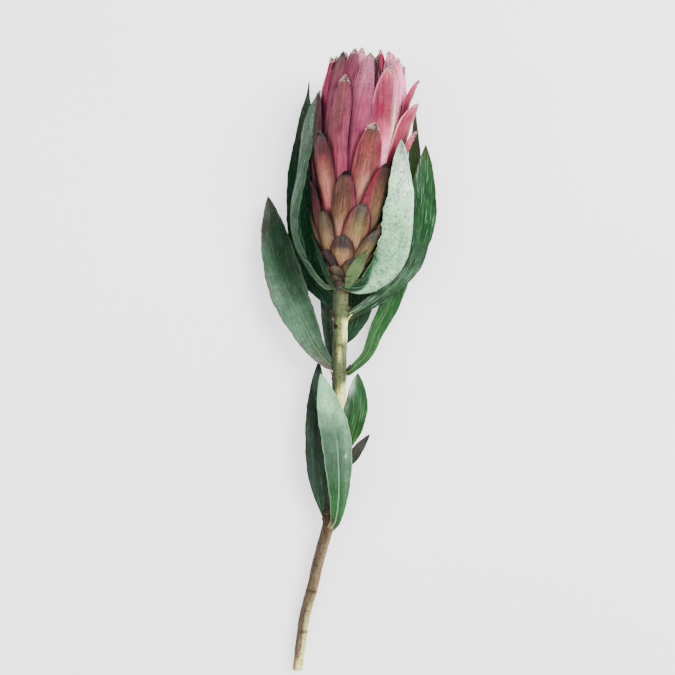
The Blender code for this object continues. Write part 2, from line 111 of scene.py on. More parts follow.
# The dark and light tones of each colour of down
DOWN_TONES = {
    "fur": ("stone", "fur"),
    "down_light": ("fur", "down_light"),
    "near_black": ("near_black", "dark_umber"),
}

# The stem's route, as places along it and to the right
STEM_ROUTE = [
    (-191.5, -21.7), (-176.0, -19.9), (-162.6, -17.9), (-149.4, -14.3), (-136.2, -11.3), (-117.5, -6.3),
    (-100.0, -3.8), (-80.0, -1.9), (-55.4, -1.0), (-36.1, -0.7), (-16.8, -0.2), (-0.3, 0.0),
]
STEM_START = STEM_ROUTE[0][0]
STEM_END = STEM_ROUTE[-1][0]
STEM_CUT_HEIGHT = 2.6
STEM_RADIUS_AT_CUT = 2.5
STEM_RADIUS_AT_HEAD = 3.7
STEM_SIDES = 48
STEM_RINGS = 420
# Old leaf scars: place along the stem, rise, how far the line arches, and the direction and
# reach round the stem, in degrees
SCARS = [
    (-3.4, 0.5, 0.0, 90, 200), (-14.5, 0.6, 1.2, 10, 45), (-16.5, 0.4, 1.0, 165, 35),
    (-28.4, 0.6, 7.0, 90, 34), (-41.5, 0.8, 1.0, 0, 45), (-44.0, 0.4, 1.0, 170, 30),
    (-79.0, 0.6, 1.0, 0, 60), (-111.0, 0.9, 1.0, 90, 120), (-115.5, 0.5, 0.0, 90, 200),
    (-150.0, 0.4, 1.0, 100, 90), (-171.0, 0.3, 1.0, 60, 50),
]
SCAR_WIDTH = 0.8
# A resting bud on the stem's upper side: its place and half its length
BUD_Y = -33.0
BUD_HALF_LENGTH = 4.6
# The stem's colours up its middle, right and left, by the place along it. The left is darker as painted
# shade, and the right lighter, partly its own cream skin and partly painted light
STEM_MIDDLE = (
    "stem_cream -191.5, stem_tan -184, stem_brown -172, stem_brown -130, brown -117, dark_brown -108, "
    "stem_green -100, stem_cream -62, stem_cream -54, stem_light -49, stem_green -45, stem_green -36, "
    "stem_light -29, stem_light -19, stem_green -14, stem_green -4, stem_shade 0"
)
STEM_RIGHT_LIT = (
    "stem_cream -191.5, stem_tan -150, stem_tan -124, brown -110, stem_light -100, stem_cream -62, "
    "stem_cream -49, stem_green -46, stem_green -36, stem_light -28, stem_cream -25, stem_cream -18, "
    "stem_green -15"
)
STEM_LEFT_SHADED = (
    "stem_tan -191.5, stem_brown -184, brown -120, dark_brown -108, stem_shade -100, stem_green -52, "
    "stem_shade -46, stem_shade -14, olive_green -10"
)
# Flakes on the stem: place, direction in degrees round it, length, width, curl and colour
FLAKES = [
    (-15.5, 165, 3.2, 2.6, 1.4, "umber"), (-18.5, 150, 2.6, 2.2, 1.0, "stem_tan"),
    (-21.0, 128, 2.2, 1.8, 0.7, "dark_brown"), (-13.5, 18, 2.8, 2.4, 1.2, "stem_brown"),
    (-17.5, 12, 3.4, 2.2, 1.9, "stem_cream"), (-42.0, 8, 3.8, 2.8, 2.0, "dark_umber"),
    (-44.5, 165, 3.0, 2.4, 1.0, "umber"), (-2.5, 150, 2.6, 2.6, 0.9, "dark_umber"),
    (-1.8, 95, 2.2, 2.4, 0.6, "umber"), (-2.4, 35, 2.6, 2.4, 0.9, "dark_umber"),
    (-113.0, 60, 3.0, 2.6, 1.2, "dark_umber"), (-116.5, 140, 3.2, 2.6, 1.0, "umber"),
    (-80.5, 20, 2.8, 2.2, 1.0, "stem_brown"),
]
FLAKE_THICKNESS = 0.3
FLAKE_ACROSS = 8
FLAKE_ALONG = 12
FLAKE_MARGIN = ("dark_brown", 0.7)

# Florets inside the ring of inner bracts: each ring's radius, tip height and count
FLORET_RINGS = [(14.2, 97, 15), (10.2, 102, 11), (6.2, 105, 7), (2.0, 107, 3)]
FLORET_FOOT = 85.3
FLORET_RADIUS = 2.2
FLORET_LEAN = 0.42
FLORET_BULGE = 1.2
FLORET_SIDES = 10
FLORET_SECTIONS = 12
FLORET_LEAST_RADIUS = 0.12
FLORET_HAIRS = 46
FLORET_HAIR_RADIUS = 0.05

# Leaves
LEAF_THICKNESS = 0.7
LEAF_EDGE_THICKNESS = 0.25
LEAF_ACROSS = 28
LEAF_ALONG = 130
RIB_WIDTH = 0.9
RIB_DEPTH = 0.35
RIB_THICKNESS = 0.5
# How far the stem and the leaves' under faces stay above the surface
STEM_CLEARANCE = 0.03
LEAF_CLEARANCE = 0.02

# The floor: its size and how far it lies under the part, in metres, and its own light
FLOOR_SIZE = 6.0
FLOOR_DROP = 0.0003
FLOOR_GLOW = 0.84
# A light: place, aim and size in metres, power in watts, and colour
LIGHTS = {
    "key": ((0.55, 0.35, 0.85), (0, 0.05, 0.02), 0.7, 20.0, (1, 1, 1)),
    "fill": ((-0.7, -0.1, 0.8), (0, 0.03, 0.02), 0.9, 7.5, (0.95, 0.97, 1.0)),
    "top": ((0.0, 0.1, 1.4), (0, 0, 0), 1.2, 8.6, (1, 1, 1)),
}
ROOM_COLOUR = (0.95, 0.96, 1.0, 1.0)
ROOM_LIGHT = 0.6
# The eye looks straight down: its place in millimetres from the head's foot, and its height
EYE = (-1.7, -25.2, 404.5)
LENS = 42.667
SENSOR = 36.0

PALETTE = {
    "crimson": (125, 16, 55), "deep_crimson": (96, 22, 42), "crimson_rose": (117, 43, 66),
    "rose": (130, 52, 73), "warm_rose": (144, 61, 78), "light_rose": (214, 88, 118),
    "pale_pink": (246, 143, 178), "mauve": (107, 49, 68), "rosy_mauve": (133, 56, 81),
    "light_mauve": (140, 67, 93), "pale_mauve": (155, 101, 117), "grey_rose": (98, 73, 79),
    "dusty_rose": (113, 58, 67), "dusk": (86, 48, 59), "dusk_rose": (104, 64, 67),
    "brown_rose": (103, 70, 65), "brick": (115, 55, 53), "salmon": (128, 76, 66),
    "salmon_rose": (184, 79, 90), "peach": (170, 105, 93), "cream": (228, 171, 152), "tan": (142, 112, 79),
    "pink_tan": (155, 111, 89), "ochre": (104, 76, 53), "gold_olive": (106, 94, 61),
    "olive_tan": (90, 77, 60), "grey_olive": (66, 65, 47), "grey_tan": (74, 66, 58), "stone": (70, 68, 61),
    "umber": (78, 53, 43), "dark_umber": (58, 40, 35), "olive": (65, 52, 34), "wine": (74, 36, 41),
    "wine_red": (98, 34, 46), "dark_wine": (52, 26, 32), "grey_mauve": (59, 53, 52),
    "dark_mauve": (53, 33, 38), "dark_purple": (45, 22, 35), "near_black": (25, 24, 25),
    "dark_moss": (31, 31, 26), "fur": (106, 92, 90), "down_light": (246, 203, 193), "brown": (63, 46, 34),
    "dark_brown": (40, 30, 24), "black_green": (10, 29, 21), "deep_green": (15, 41, 25),
    "moss": (26, 49, 31), "fern": (39, 63, 44), "sage": (57, 74, 61), "dull_green": (68, 90, 71),
    "blue_green": (63, 88, 69), "light_blue_green": (75, 106, 83), "mint": (144, 196, 153),
    "pale_mint": (215, 246, 217), "leaf_green": (42, 85, 45), "bright_green": (32, 81, 41),
    "grass_green": (43, 84, 39), "rib_green": (80, 110, 70), "slate_green": (40, 54, 45),
    "slate_purple": (49, 48, 47), "olive_green": (56, 68, 47), "lilac_brown": (87, 82, 76),
    "stem_shade": (56, 66, 43), "stem_green": (83, 91, 60), "stem_light": (116, 125, 74),
    "stem_cream": (246, 245, 154), "stem_tan": (129, 107, 78), "stem_brown": (88, 76, 62),
    "dark_floret": (47, 22, 38), "pale_olive": (91, 114, 72), "dark_emerald": (9, 60, 36),
    "hot_crimson": (128, 30, 62),
}

# A look of a bract: its colours from root to tip, those towards its left and right edges, its
# margin with a strength, and the colour of the down on its tip
BRACT_LOOKS = {
    "scale": ("pink_tan 0.3, tan 0.62, grey_mauve 0.78", "umber", "umber", ("dark_wine", 0.9), "fur"),
    "mauve_scale": (
        "olive_tan 0, grey_tan 0.4, grey_mauve 0.65",
        "grey_mauve", "dark_mauve", ("dark_wine", 0.9), "fur"),
    "grey_scale": (
        "ochre 0, tan 0.45, gold_olive 0.66, stone 0.82",
        "umber", "umber", ("dark_brown", 0.8), "fur"),
    "neck_scale": (
        "olive_green 0, stone 0.4, olive_tan 1",
        "umber", "grey_olive", ("dark_brown", 0.9), "fur"),
    "tan": (
        "light_rose 0, pink_tan 0.2, tan 0.5, olive_tan 0.75, grey_olive 0.9, near_black 1",
        "umber", "wine", ("dark_moss", 0.95), "near_black"),
    "olive": (
        "light_rose 0, pink_tan 0.25, tan 0.45, gold_olive 0.72, grey_tan 0.9, stone 1",
        "wine_red", "wine_red", ("dark_wine", 0.95), "fur"),
    "crimson_right": (
        "light_rose 0, peach 0.25, pink_tan 0.42, ochre 0.58, umber 0.78, umber 0.92, near_black 1",
        "umber", "crimson_rose", ("dark_moss", 0.85), "near_black"),
    "crimson_left": (
        "olive_tan 0.35, ochre 0.6, umber 0.82, near_black 1",
        "crimson", "grey_olive", ("dark_brown", 0.6), "near_black"),
    "black_tip": (
        "dusty_rose 0, brown_rose 0.5, wine 0.7, near_black 0.84",
        "dark_umber", "wine", ("near_black", 0.8), "near_black"),
    "grey_tip": (
        "light_rose 0, peach 0.42, salmon 0.6, brick 0.7, wine 0.8, grey_mauve 1",
        "wine", "wine", ("dark_wine", 0.4), "fur"),
    "furry_red": (
        "pale_pink 0, peach 0.34, salmon 0.6, brick 0.8, umber 0.95, grey_mauve 1",
        "wine_red", "rose", ("peach", 0.2), "down_light"),
    "brown_rose": (
        "rose 0, warm_rose 0.3, dusty_rose 0.55",
        "dusty_rose", "rosy_mauve", ("grey_rose", 0.2), "down_light"),
    "red_stripe": (
        "pale_pink 0.36, light_rose 0.46, warm_rose 0.6, rose 0.76, warm_rose 0.88, light_rose 1",
        "rose", "pale_pink", ("pale_pink", 0.25), "down_light"),
    "cream_right": (
        "crimson_rose 0, rose 0.4, warm_rose 0.7, light_rose 1",
        "crimson", "salmon_rose", ("cream", 0.8), "down_light"),
    "dark_mauve": (
        "dark_purple 0.4, dark_wine 0.7, dark_wine 0.9, dark_mauve 1",
        "dark_purple", "dark_wine", ("dark_purple", 0.5), "fur"),
    "crimson": (
        "dusk 0, mauve 0.4, hot_crimson 0.55, hot_crimson 0.85, crimson 1",
        "hot_crimson", "hot_crimson", ("deep_crimson", 0.4), "down_light"),
    "grey_mauve": (
        "dusk 0, mauve 0.35, mauve 0.7, dusk_rose 0.88, grey_mauve 1",
        "dusk", "mauve", ("grey_rose", 0.3), "fur"),
    "mauve": (
        "mauve 0, dusk 0.4, mauve 0.65, mauve 0.9, grey_rose 1",
        "dusk", "mauve", ("pale_pink", 0.1), "down_light"),
    "light_mauve": (
        "rose 0, rosy_mauve 0.3, rosy_mauve 0.55, light_mauve 0.75, pale_mauve 1",
        "mauve", "light_mauve", ("pale_pink", 0.12), "down_light"),
    "pale": (
        "rose 0, rosy_mauve 0.4, mauve 0.75, pale_mauve 0.9, pale_pink 1",
        "dusk", "light_rose", ("pale_pink", 0.25), "down_light"),
    "pale_right": (
        "crimson_rose 0, light_rose 0.35, pale_pink 0.55",
        "light_rose", "pale_pink", ("pale_pink", 0.4), "down_light"),
    "hot_pink": (
        "crimson_rose 0, crimson 0.45, warm_rose 0.8, light_rose 1",
        "crimson", "rose", ("pale_pink", 0.15), "down_light"),
}
# Soft ovals on a look's bracts: side, share of the length, reach across and along, colour, strength
BRACT_PATCHES = {
    "red_stripe": [(-0.5, 0.66, 0.38, 0.07, "crimson", 0.95), (0.55, 0.55, 0.22, 0.26, "down_light", 0.75),
        (-0.1, 0.85, 0.3, 0.08, "crimson_rose", 0.5), (0.3, 0.36, 0.5, 0.1, "pale_pink", 0.6)],
    "brown_rose": [(-0.2, 0.72, 0.4, 0.1, "dusk_rose", 0.6), (0.3, 0.5, 0.3, 0.14, "rosy_mauve", 0.4),
        (0.2, 0.86, 0.3, 0.05, "salmon_rose", 0.2)],
    "furry_red": [(0.35, 0.62, 0.3, 0.12, "brick", 0.5), (0.3, 0.42, 0.4, 0.09, "cream", 0.5)],
    "light_mauve": [(-0.35, 0.8, 0.25, 0.16, "pale_mauve", 0.8), (0.45, 0.7, 0.2, 0.15, "pale_mauve", 0.5)],
    "crimson_right": [(0.5, 0.5, 0.3, 0.14, "wine_red", 0.6), (0, 0.38, 0.4, 0.1, "pink_tan", 0.6)],
    "olive": [(-0.3, 0.45, 0.4, 0.12, "pink_tan", 0.6)],
    "crimson_left": [(-0.45, 0.5, 0.3, 0.2, "crimson_rose", 0.5)],
    "grey_tip": [(0.3, 0.5, 0.35, 0.14, "peach", 0.5)],
    "hot_pink": [(0, 0.75, 0.25, 0.1, "crimson", 0.6)],
    "cream_right": [(0.2, 0.7, 0.3, 0.12, "salmon_rose", 0.6),
        (-0.2, 0.86, 0.3, 0.06, "crimson_rose", 0.6)],
}
# One tier a line: root height, root depth, tip height, width, pitch round the head, the azimuths
# between which its bracts are listed, those bracts as azimuth, tip height, width, flare and look,
# and the looks of the bracts that follow round the under side
TIERS = [
    (0.5, 2.6, 11.0, 8.5, 42, (-20, 20), [
        (-20, 9, 8.0, 0, "neck_scale"), (20, 13, 8.5, 0, "grey_scale"),
    ], ["scale", "mauve_scale", "grey_scale"]),
    (1.0, 3.2, 22.0, 11.5, 50, (-40, 49), [
        (-40, 15.5, 9.0, 0, "mauve_scale"), (-6, 23, 12.0, 0, "scale"), (49, 28, 11.5, 0, "grey_scale"),
    ], ["scale", "grey_scale"]),
    (3.0, 3.8, 36.0, 12.5, 50, (-39, 15), [
        (-39, 34, 10.0, 0, "tan"), (15, 38, 13.5, 0, "olive"),
    ], ["tan", "olive"]),
    (8.0, 4.0, 54.0, 12.5, 47, (-68, 34), [
        (-68, 47.5, 12.0, 0, "black_tip"), (-10, 51, 12.0, 0, "crimson_right"),
        (35, 57, 13.0, 0, "crimson_left"),
    ], ["crimson_left", "crimson_right", "black_tip"]),
    (26.0, 5.8, 71.0, 12.5, 49, (-43, 63), [
        (-46, 67.5, 12.5, 0, "grey_tip"), (14, 73, 12.5, 0, "furry_red"), (71, 74, 13.0, 2.2, "hot_pink"),
    ], ["grey_tip", "furry_red"]),
    (42.0, 5.4, 91.0, 13.0, 44, (-74, 84), [
        (-70, 86, 13.0, 0, "dark_mauve"), (-27, 93, 10.5, 0, "brown_rose"),
        (33, 100, 15.5, 0, "red_stripe"), (64, 86, 16.0, 4.8, "cream_right"),
    ], ["brown_rose", "red_stripe", "dark_mauve"]),
    (58.0, 5.2, 106.0, 10.0, 25, (-81, 84), [
        (-69, 103, 9.5, 1.0, "crimson"), (-46, 105, 9.0, 0.3, "grey_mauve"), (-26, 106.5, 8.5, 0, "mauve"),
        (2.4, 104.5, 10.8, 0, "light_mauve"), (38, 107.5, 10.5, 0.8, "pale"),
        (60, 106, 9.0, 0.3, "pale_right"), (82, 104, 9.5, 0, "pale_right"), (65, 96.5, 8.0, 6.4, "hot_pink"),
    ], ["light_mauve", "crimson", "mauve", "pale"]),
    (62.0, 6.6, 104.0, 9.5, 25, (-64, 84), [
        (-64, 103.5, 8.0, -0.6, "crimson"), (-41, 104.5, 8.5, -0.8, "mauve"), (-14, 107, 8.0, -0.2, "pale"),
        (13, 103.5, 5.5, -0.2, "dark_mauve"), (21, 107.5, 5.5, -0.4, "crimson"),
        (50, 107, 8.0, -0.3, "crimson"), (72, 104, 8.0, -0.8, "mauve"),
    ], ["crimson", "dark_mauve", "mauve"]),
]
OUTER_TIERS = 4
# The last tier is this script's own ring, behind the inner bracts
OWN_RING = 7
# Small crinkled scales round the neck, below the first tier: their root, and azimuths and tip heights
NECK_ROOT = (-3.2, 2.6)
NECK_SCALES = [
    (-70, 4.5), (-46, 3.2), (-20, 4.2), (-4, 1.6), (18, 4.6), (34, 2.0), (52, 4.0), (72, 4.6),
    (130, 4.5), (165, 4.0), (200, 4.5), (235, 4.0),
]

# A leaf: name, full width, where it is widest, wave height, waves, then its points as
# x, y, z, turn and cup. A positive turn lowers the right edge, and a positive cup lifts both.
LEAVES = [
    ("leaf_left_long", 18.5, 0.5, 0.5, 3, [
        (-3.4, -39, 17.4, 0, 10), (-6.2, -37.6, 17.6, -3, 12), (-12.4, -30.2, 17.2, -5, 14),
        (-17.3, -21, 16.6, -6, 14), (-24.8, -4.5, 15.4, -6, 14), (-31.3, 18.4, 13.4, -6, 12),
        (-36, 44.4, 10.6, -4, 8)]),
    ("leaf_head_back_left", 17, 0.45, 0.5, 3, [
        (-2.8, -9.6, 17.6, 0, 10), (-9, -3.5, 11.5, 6, 14), (-16, 7.6, 6.4, 12, 16),
        (-19.4, 30, 3.8, 22, 18), (-20.4, 51.5, 4.4, 32, 20), (-18.4, 75, 8.4, 40, 20),
        (-15.2, 98.5, 17, 45, 16)]),
    ("leaf_head_left", 20, 0.58, 0.4, 3, [
        (0.6, 0.6, 26.2, 0, -20), (-3.4, -1.2, 24.8, -18, -25), (-7.8, -0.8, 23.2, -40, -38),
        (-14.2, 4.8, 24.2, -70, -60), (-20.2, 14, 25, -86, -75), (-23.8, 25, 25.2, -86, -78),
        (-23.9, 37.5, 25.6, -82, -74), (-21.4, 49, 26.6, -76, -60), (-18.6, 62, 28.2, -62, -42),
        (-14.6, 76, 30.4, -44, -30), (-9.8, 89.5, 33.6, -34, -20)]),
    ("leaf_head_right", 23, 0.5, 0.8, 3, [
        (-0.6, 0.2, 26.6, 0, -20), (3.8, -1.4, 25.6, 8, -25), (9.2, -1.4, 24.2, 16, -32),
        (16.4, 2, 24.2, 26, -45), (23.4, 7, 26, 38, -52), (28.6, 15.4, 28.4, 45, -54),
        (30.8, 25, 31, 47, -52), (30.8, 36, 35, 46, -48), (29, 49, 41.4, 42, -38),
        (26.8, 63.4, 46.5, 36, -20)]),
    ("leaf_right_sweep", 14, 0.62, 0.9, 4, [
        (3.2, -15.4, 19, 0, 12), (6.6, -13.4, 18.8, -10, 14), (15.6, -7.8, 17.8, -30, 16),
        (27, 0.8, 16.4, -40, 16), (34.8, 12.2, 15.6, -36, 16), (39.4, 30, 15.2, -25, 16),
        (40.4, 50, 16.4, -18, 14), (40.8, 67.6, 19, -14, 10)]),
    ("leaf_right_back", 12.5, 0.55, 0.6, 4, [
        (2.6, -42.6, 16.2, 0, 8), (5.4, -40.6, 15.4, 0, 8), (12.6, -33.6, 12.8, -5, 10),
        (17.8, -21.5, 9.8, -8, 10), (24.4, -8.4, 6.4, -10, 10), (30.4, 12, 2.6, -12, 10),
        (35, 37, 1.4, -18, 10), (37, 60.6, 3.5, -45, 10), (36.6, 88, 8, -66, 8)]),
    ("leaf_back_right", 18.5, 0.32, 0.3, 3, [
        (1.4, -26.6, 16.4, 0, 6), (4.6, -21.6, 13, 0, 6), (7.6, -11, 7, 0, 6), (8.2, 2, 2.2, 0, 6),
        (8.2, 16, -1, 0, 6), (8.2, 34, -1.5, 0, 6), (8.6, 52, -1.5, 0, 6), (9, 70, -1, 0, 6)]),
    ("leaf_back_left", 9, 0.45, 0.4, 3, [
        (-2.4, -41, 14.4, 5, 10), (-4, -35.5, 13, 8, 10), (-5, -26.5, 11.4, 8, 10),
        (-5.6, -11.7, 8.8, 8, 10), (-6.4, 2, 5.4, 6, 8), (-7.2, 17.5, 2.8, 3, 6), (-7.6, 31, 2.2, 0, 4)]),
    ("leaf_low_left", 12.5, 0.45, 0.4, 3, [
        (-7.4, -113.6, 10.6, 5, 10), (-8.8, -108, 10.8, 8, 12), (-10.9, -95.2, 11.4, 12, 14),
        (-11.6, -75.6, 12.4, 14, 14), (-11.8, -56, 12.6, 14, 12), (-10.8, -36.2, 12.2, 12, 8)]),
    ("leaf_low_front", 14.5, 0.6, 0.4, 3, [
        (-5.2, -119, 13.4, 0, -8), (-2.6, -114.5, 14.8, 0, -12), (-1, -99, 18, 0, -14),
        (-2.2, -74.4, 21, 0, -14), (-6.1, -57.4, 22, -3, -12), (-9.8, -42.5, 21.5, -6, -8)]),
    ("leaf_low_right", 9.5, 0.5, 0.9, 3, [
        (1.2, -80.4, 14, 0, 12), (4.1, -76, 14.8, -8, 16), (6.8, -67.6, 16.4, -12, 18),
        (8.7, -55.5, 17.8, -12, 16), (8, -42.4, 18.6, -8, 12)]),
    ("leaf_low_small", 5.4, 0.4, 0.3, 2, [
        (0.2, -89.8, 12.4, 0, 8), (4.2, -85.6, 12.4, -8, 12), (9, -79.2, 12.6, -12, 12),
        (14, -72.6, 12.8, -12, 8)]),
    ("leaf_bract_right", 6.6, 0.5, 0.2, 2, [
        (2.4, -2.6, 25, 15, -10), (4, 0.8, 28.8, 18, -16), (8.2, 8.8, 35.6, 24, -18),
        (11.6, 14.6, 38.9, 28, -12)]),
    ("leaf_bract_left", 2.8, 0.45, 0.1, 2, [
        (-2.4, -4.2, 23.8, -15, -8), (-5, 0.5, 27, -25, -10), (-9.4, 10, 29.6, -38, -10),
        (-13, 20.9, 30.6, -45, -8)]),
]
# A look of a leaf: its upper and under faces' colours from base to tip, the tints towards its left
# and right edges, the margin's colour with its strength at the base and the tip, the rib's colour
# with its strength and the share of the length where it fades out, the finish as roughness,
# specks, streaks (which also set their painted highlights) and veins, and soft patches as on
# bracts. Those left out are as in PLAIN_LEAF.
PLAIN_LEAF = dict(rib=("fern", 0.3, 0.6), finish=(0.45, 0.3, 0.2, 0.3), tilt=0.02, patches=[])
LEAF_LOOKS = {
    "leaf_left_long": dict(
        upper="lilac_brown 0, dull_green 0.08, light_blue_green 0.3, blue_green 0.5, fern 0.62, "
              "deep_green 0.8, grey_mauve 1",
        under="sage 0, blue_green 1",
        left=("light_blue_green", 0.7), right=("moss", 0.6), margin=("lilac_brown", 0.8, 0.2),
        rib=("rib_green", 0.8, 0.42), finish=(0.5, 0.5, 0.1, 0.25),
        patches=[(0.05, 0.64, 0.42, 0.17, "deep_green", 1), (0.5, 0.5, 0.45, 0.16, "deep_green", 0.9),
            (-0.85, 0.84, 0.45, 0.08, "dark_mauve", 0.9), (0.1, 0.97, 0.8, 0.06, "dark_mauve", 0.7),
            (0.5, 0.8, 0.5, 0.12, "deep_green", 0.8), (0.85, 0.22, 0.35, 0.22, "fern", 0.6),
            (-0.95, 0.52, 0.12, 0.1, "lilac_brown", 0.6), (-0.6, 0.06, 0.6, 0.06, "lilac_brown", 0.8)]),
    "leaf_head_back_left": dict(
        upper="deep_green 0, dark_emerald 0.25, dark_emerald 0.62, fern 0.72, sage 0.8, dull_green 0.93, "
              "stone 1",
        under="sage 0, dull_green 1",
        left=("dark_emerald", 0.3), right=("black_green", 0.3), margin=("fern", 0.3, 0.5),
        rib=("fern", 0.15, 0.5), finish=(0.5, 1.3, 0.2, 0.2),
        patches=[(-0.5, 0.8, 0.6, 0.08, "dull_green", 0.6)]),
    "leaf_head_left": dict(
        upper="rib_green 0, olive_green 0.12, moss 0.25, fern 0.45, fern 0.66, sage 0.8, dull_green 0.9, "
              "lilac_brown 1",
        under="olive_green 0, deep_green 0.12, dark_emerald 0.25, dark_emerald 0.75, fern 0.92, sage 1",
        left=("moss", 0.5), right=("fern", 0.35), margin=("dull_green", 0.5, 0.5), rib=("fern", 0.2, 0.5),
        finish=(0.55, 1.5, 0.5, 0.15),
        patches=[(0.7, 0.9, 0.5, 0.08, "mint", 0.4), (0.5, 0.6, 0.3, 0.08, "light_blue_green", 0.5)]),
    # Its dark green base and the dark emerald patches low on its left edge are partly the leaf's own dark
    # inner face and partly painted shade where it curls in beside the head
    "leaf_head_right": dict(
        upper="olive_green 0, deep_green 0.05, deep_green 0.13, sage 0.145, mint 0.17, mint 0.55, "
              "pale_mint 0.8, lilac_brown 1",
        under="deep_green 0, black_green 1",
        left=("mint", 0.3), right=("pale_mint", 0.7), margin=("stem_light", 0.95, 0.1),
        rib=("mint", 0.12, 0.9), finish=(0.6, 1.3, 0.15, 0.1), tilt=0.09,
        patches=[(-0.7, 0.88, 0.4, 0.06, "light_blue_green", 0.5), (-1, 0.21, 0.5, 0.07, "dark_emerald", 1),
            (-1, 0.31, 0.25, 0.05, "dark_emerald", 0.9)]),
    "leaf_right_sweep": dict(
        upper="olive_green 0, moss 0.08, fern 0.2, blue_green 0.32, blue_green 0.44, bright_green 0.6, "
              "bright_green 0.8, leaf_green 0.93, olive 1",
        under="sage 0, leaf_green 1",
        left=("deep_green", 0.55), right=("leaf_green", 0.3), margin=("brown", 0.3, 0.9),
        rib=("rib_green", 0.35, 0.8), finish=(0.36, 0.3, 0.9, 0.3),
        patches=[(0.6, 0.45, 0.4, 0.08, "light_blue_green", 0.5)]),
    "leaf_right_back": dict(
        upper="dark_brown 0, grass_green 0.035, leaf_green 0.3, leaf_green 0.55, grass_green 0.75, olive 1",
        under="sage 0, leaf_green 1",
        left=("grass_green", 0.4), right=("bright_green", 0.3), margin=("rib_green", 0.4, 0.4),
        rib=("rib_green", 0.6, 0.7), finish=(0.42, 0.2, 0.2, 0.3)),
    "leaf_back_right": dict(
        upper="deep_green 0, fern 0.3, fern 0.6, deep_green 1",
        under="sage 0, blue_green 1",
        left=("deep_green", 0.5), right=("fern", 0.4), margin=("black_green", 0.4, 0.4)),
    "leaf_back_left": dict(
        upper="dull_green 0, sage 0.4, fern 1",
        under="sage 1",
        left=("fern", 0.3), right=("black_green", 0.4), margin=("sage", 0.4, 0.4)),
    "leaf_low_left": dict(
        upper="fern 0, slate_green 0.3, slate_green 0.9, near_black 1",
        under="sage 1",
        left=("black_green", 0.3), right=("fern", 0.3), margin=("dark_brown", 0.4, 0.6),
        finish=(0.45, 0.3, 0.15, 0.25)),
    "leaf_low_front": dict(
        upper="stem_tan 0, olive_green 0.04, leaf_green 0.12, leaf_green 0.28, blue_green 0.4, "
              "light_blue_green 0.62, mint 0.8",
        under="sage 1",
        left=("blue_green", 0.4), right=("light_blue_green", 0.35), margin=("mint", 0.35, 0.35),
        rib=("mint", 0.5, 0.6), finish=(0.5, 0.45, 0.15, 0.3),
        patches=[(0.54, 0.48, 0.05, 0.012, "pale_mint", 0.9), (0.98, 0.66, 0.12, 0.1, "lilac_brown", 0.7),
            (0.75, 0.55, 0.3, 0.3, "mint", 0.35), (0.95, 0.35, 0.2, 0.2, "fern", 0.6)]),
    "leaf_low_right": dict(
        upper="grass_green 0.4, bright_green 0.8, olive_green 1",
        under="sage 0, leaf_green 1",
        left=("grass_green", 0.2), right=("bright_green", 0.3), margin=("dark_moss", 0.3, 0.8),
        rib=("rib_green", 0.4, 0.8), finish=(0.4, 0.2, 0.3, 0.3),
        patches=[(-0.85, 0.6, 0.3, 0.35, "dull_green", 0.95), (-0.52, 0.55, 0.12, 0.4, "deep_green", 0.9),
            (-0.9, 0.84, 0.4, 0.1, "pale_mint", 0.55)]),
    "leaf_low_small": dict(
        upper="slate_green 0, stone 0.5, slate_purple 1",
        under="slate_purple 1",
        left=("stone", 0.5), right=("slate_purple", 0.7), margin=("near_black", 0.5, 0.5),
        rib=("grey_tan", 0.4, 0.8), finish=(0.5, 0.3, 0.1, 0.2)),
    "leaf_bract_right": dict(
        upper="rib_green 0, pale_olive 0.25, pale_olive 0.7, stem_shade 1",
        under="black_green 0, deep_green 1",
        left=("stem_shade", 0.3), right=("stem_shade", 0.4), margin=("rib_green", 0.6, 0.3),
        rib=("rib_green", 0.25, 0.6), finish=(0.5, 0.3, 0.1, 0.2)),
    "leaf_bract_left": dict(
        upper="olive_green 0, deep_green 0.4, black_green 1",
        under="black_green 1",
        left=("deep_green", 0.3), right=("fern", 0.3), margin=("fern", 0.5, 0.3), rib=("fern", 0.2, 0.5),
        finish=(0.5, 0.3, 0.1, 0.2)),
}
# How wide a leaf's left and right halves are against the even outline
HALF_SHARES = {"leaf_head_left": (1.0, 0.8), "leaf_head_right": (1.16, 1.0), "leaf_low_right": (1.45, 1.0)}
# Bases that clasp the neck narrowly: the share of the length they take, and their least width
CLASPING = {"leaf_head_left": (0.34, 0.4), "leaf_head_right": (0.26, 0.45)}
# Left halves that are narrow low down: the share of the length they take, and their least width
LEFT_BASES = {"leaf_head_right": (0.42, 0.76)}
# Tips drawn out into a spike: the shares of the length where it starts and is thin, and its width
SPIKES = {"leaf_head_back_left": (0.89, 0.95, 0.4)}


def linear(name):
    """A palette colour in the linear values that shaders take."""
    share = np.array(PALETTE[name]) / 255
    return np.where(share <= 0.04045, share / 12.92, ((share + 0.055) / 1.055) ** 2.4)


def smooth_line(pairs, at):
    """Reads a smooth line through (place, value) pairs at an array of places, flat beyond both ends."""
    x, y = np.array(pairs, float).T
    at = np.clip(at, x[0], x[-1])
    last = len(x) - 1
    i = np.clip(np.searchsorted(x, at, side="right") - 1, 0, last - 1)
    before = np.maximum(i - 1, 0)
    after = np.minimum(i + 2, last)
    slope0 = (y[i + 1] - y[before]) / (x[i + 1] - x[before])
    slope1 = (y[after] - y[i]) / (x[after] - x[i])
    span = x[i + 1] - x[i]
    u = (at - x[i]) / span
    start = (2 * u**3 - 3 * u**2 + 1) * y[i] + (u**3 - 2 * u**2 + u) * span * slope0
    return start + (3 * u**2 - 2 * u**3) * y[i + 1] + (u**3 - u**2) * span * slope1


def colour_line(line, at):
    """Reads a line of colours at an array of places, straight between them and flat beyond both ends."""
    stops = [stop.split() for stop in line.split(", ")]
    colours = np.array([linear(name) for name, _ in stops])
    places = [float(place) for _, place in stops]
    return np.stack([np.interp(at, places, colours[:, i]) for i in range(3)], axis=-1)


def blend(colours, other, share):
    """Mixes colours with others, or with a palette colour by its name."""
    other = linear(other) if isinstance(other, str) else other
    return colours + (other - colours) * np.asarray(share)[..., None]


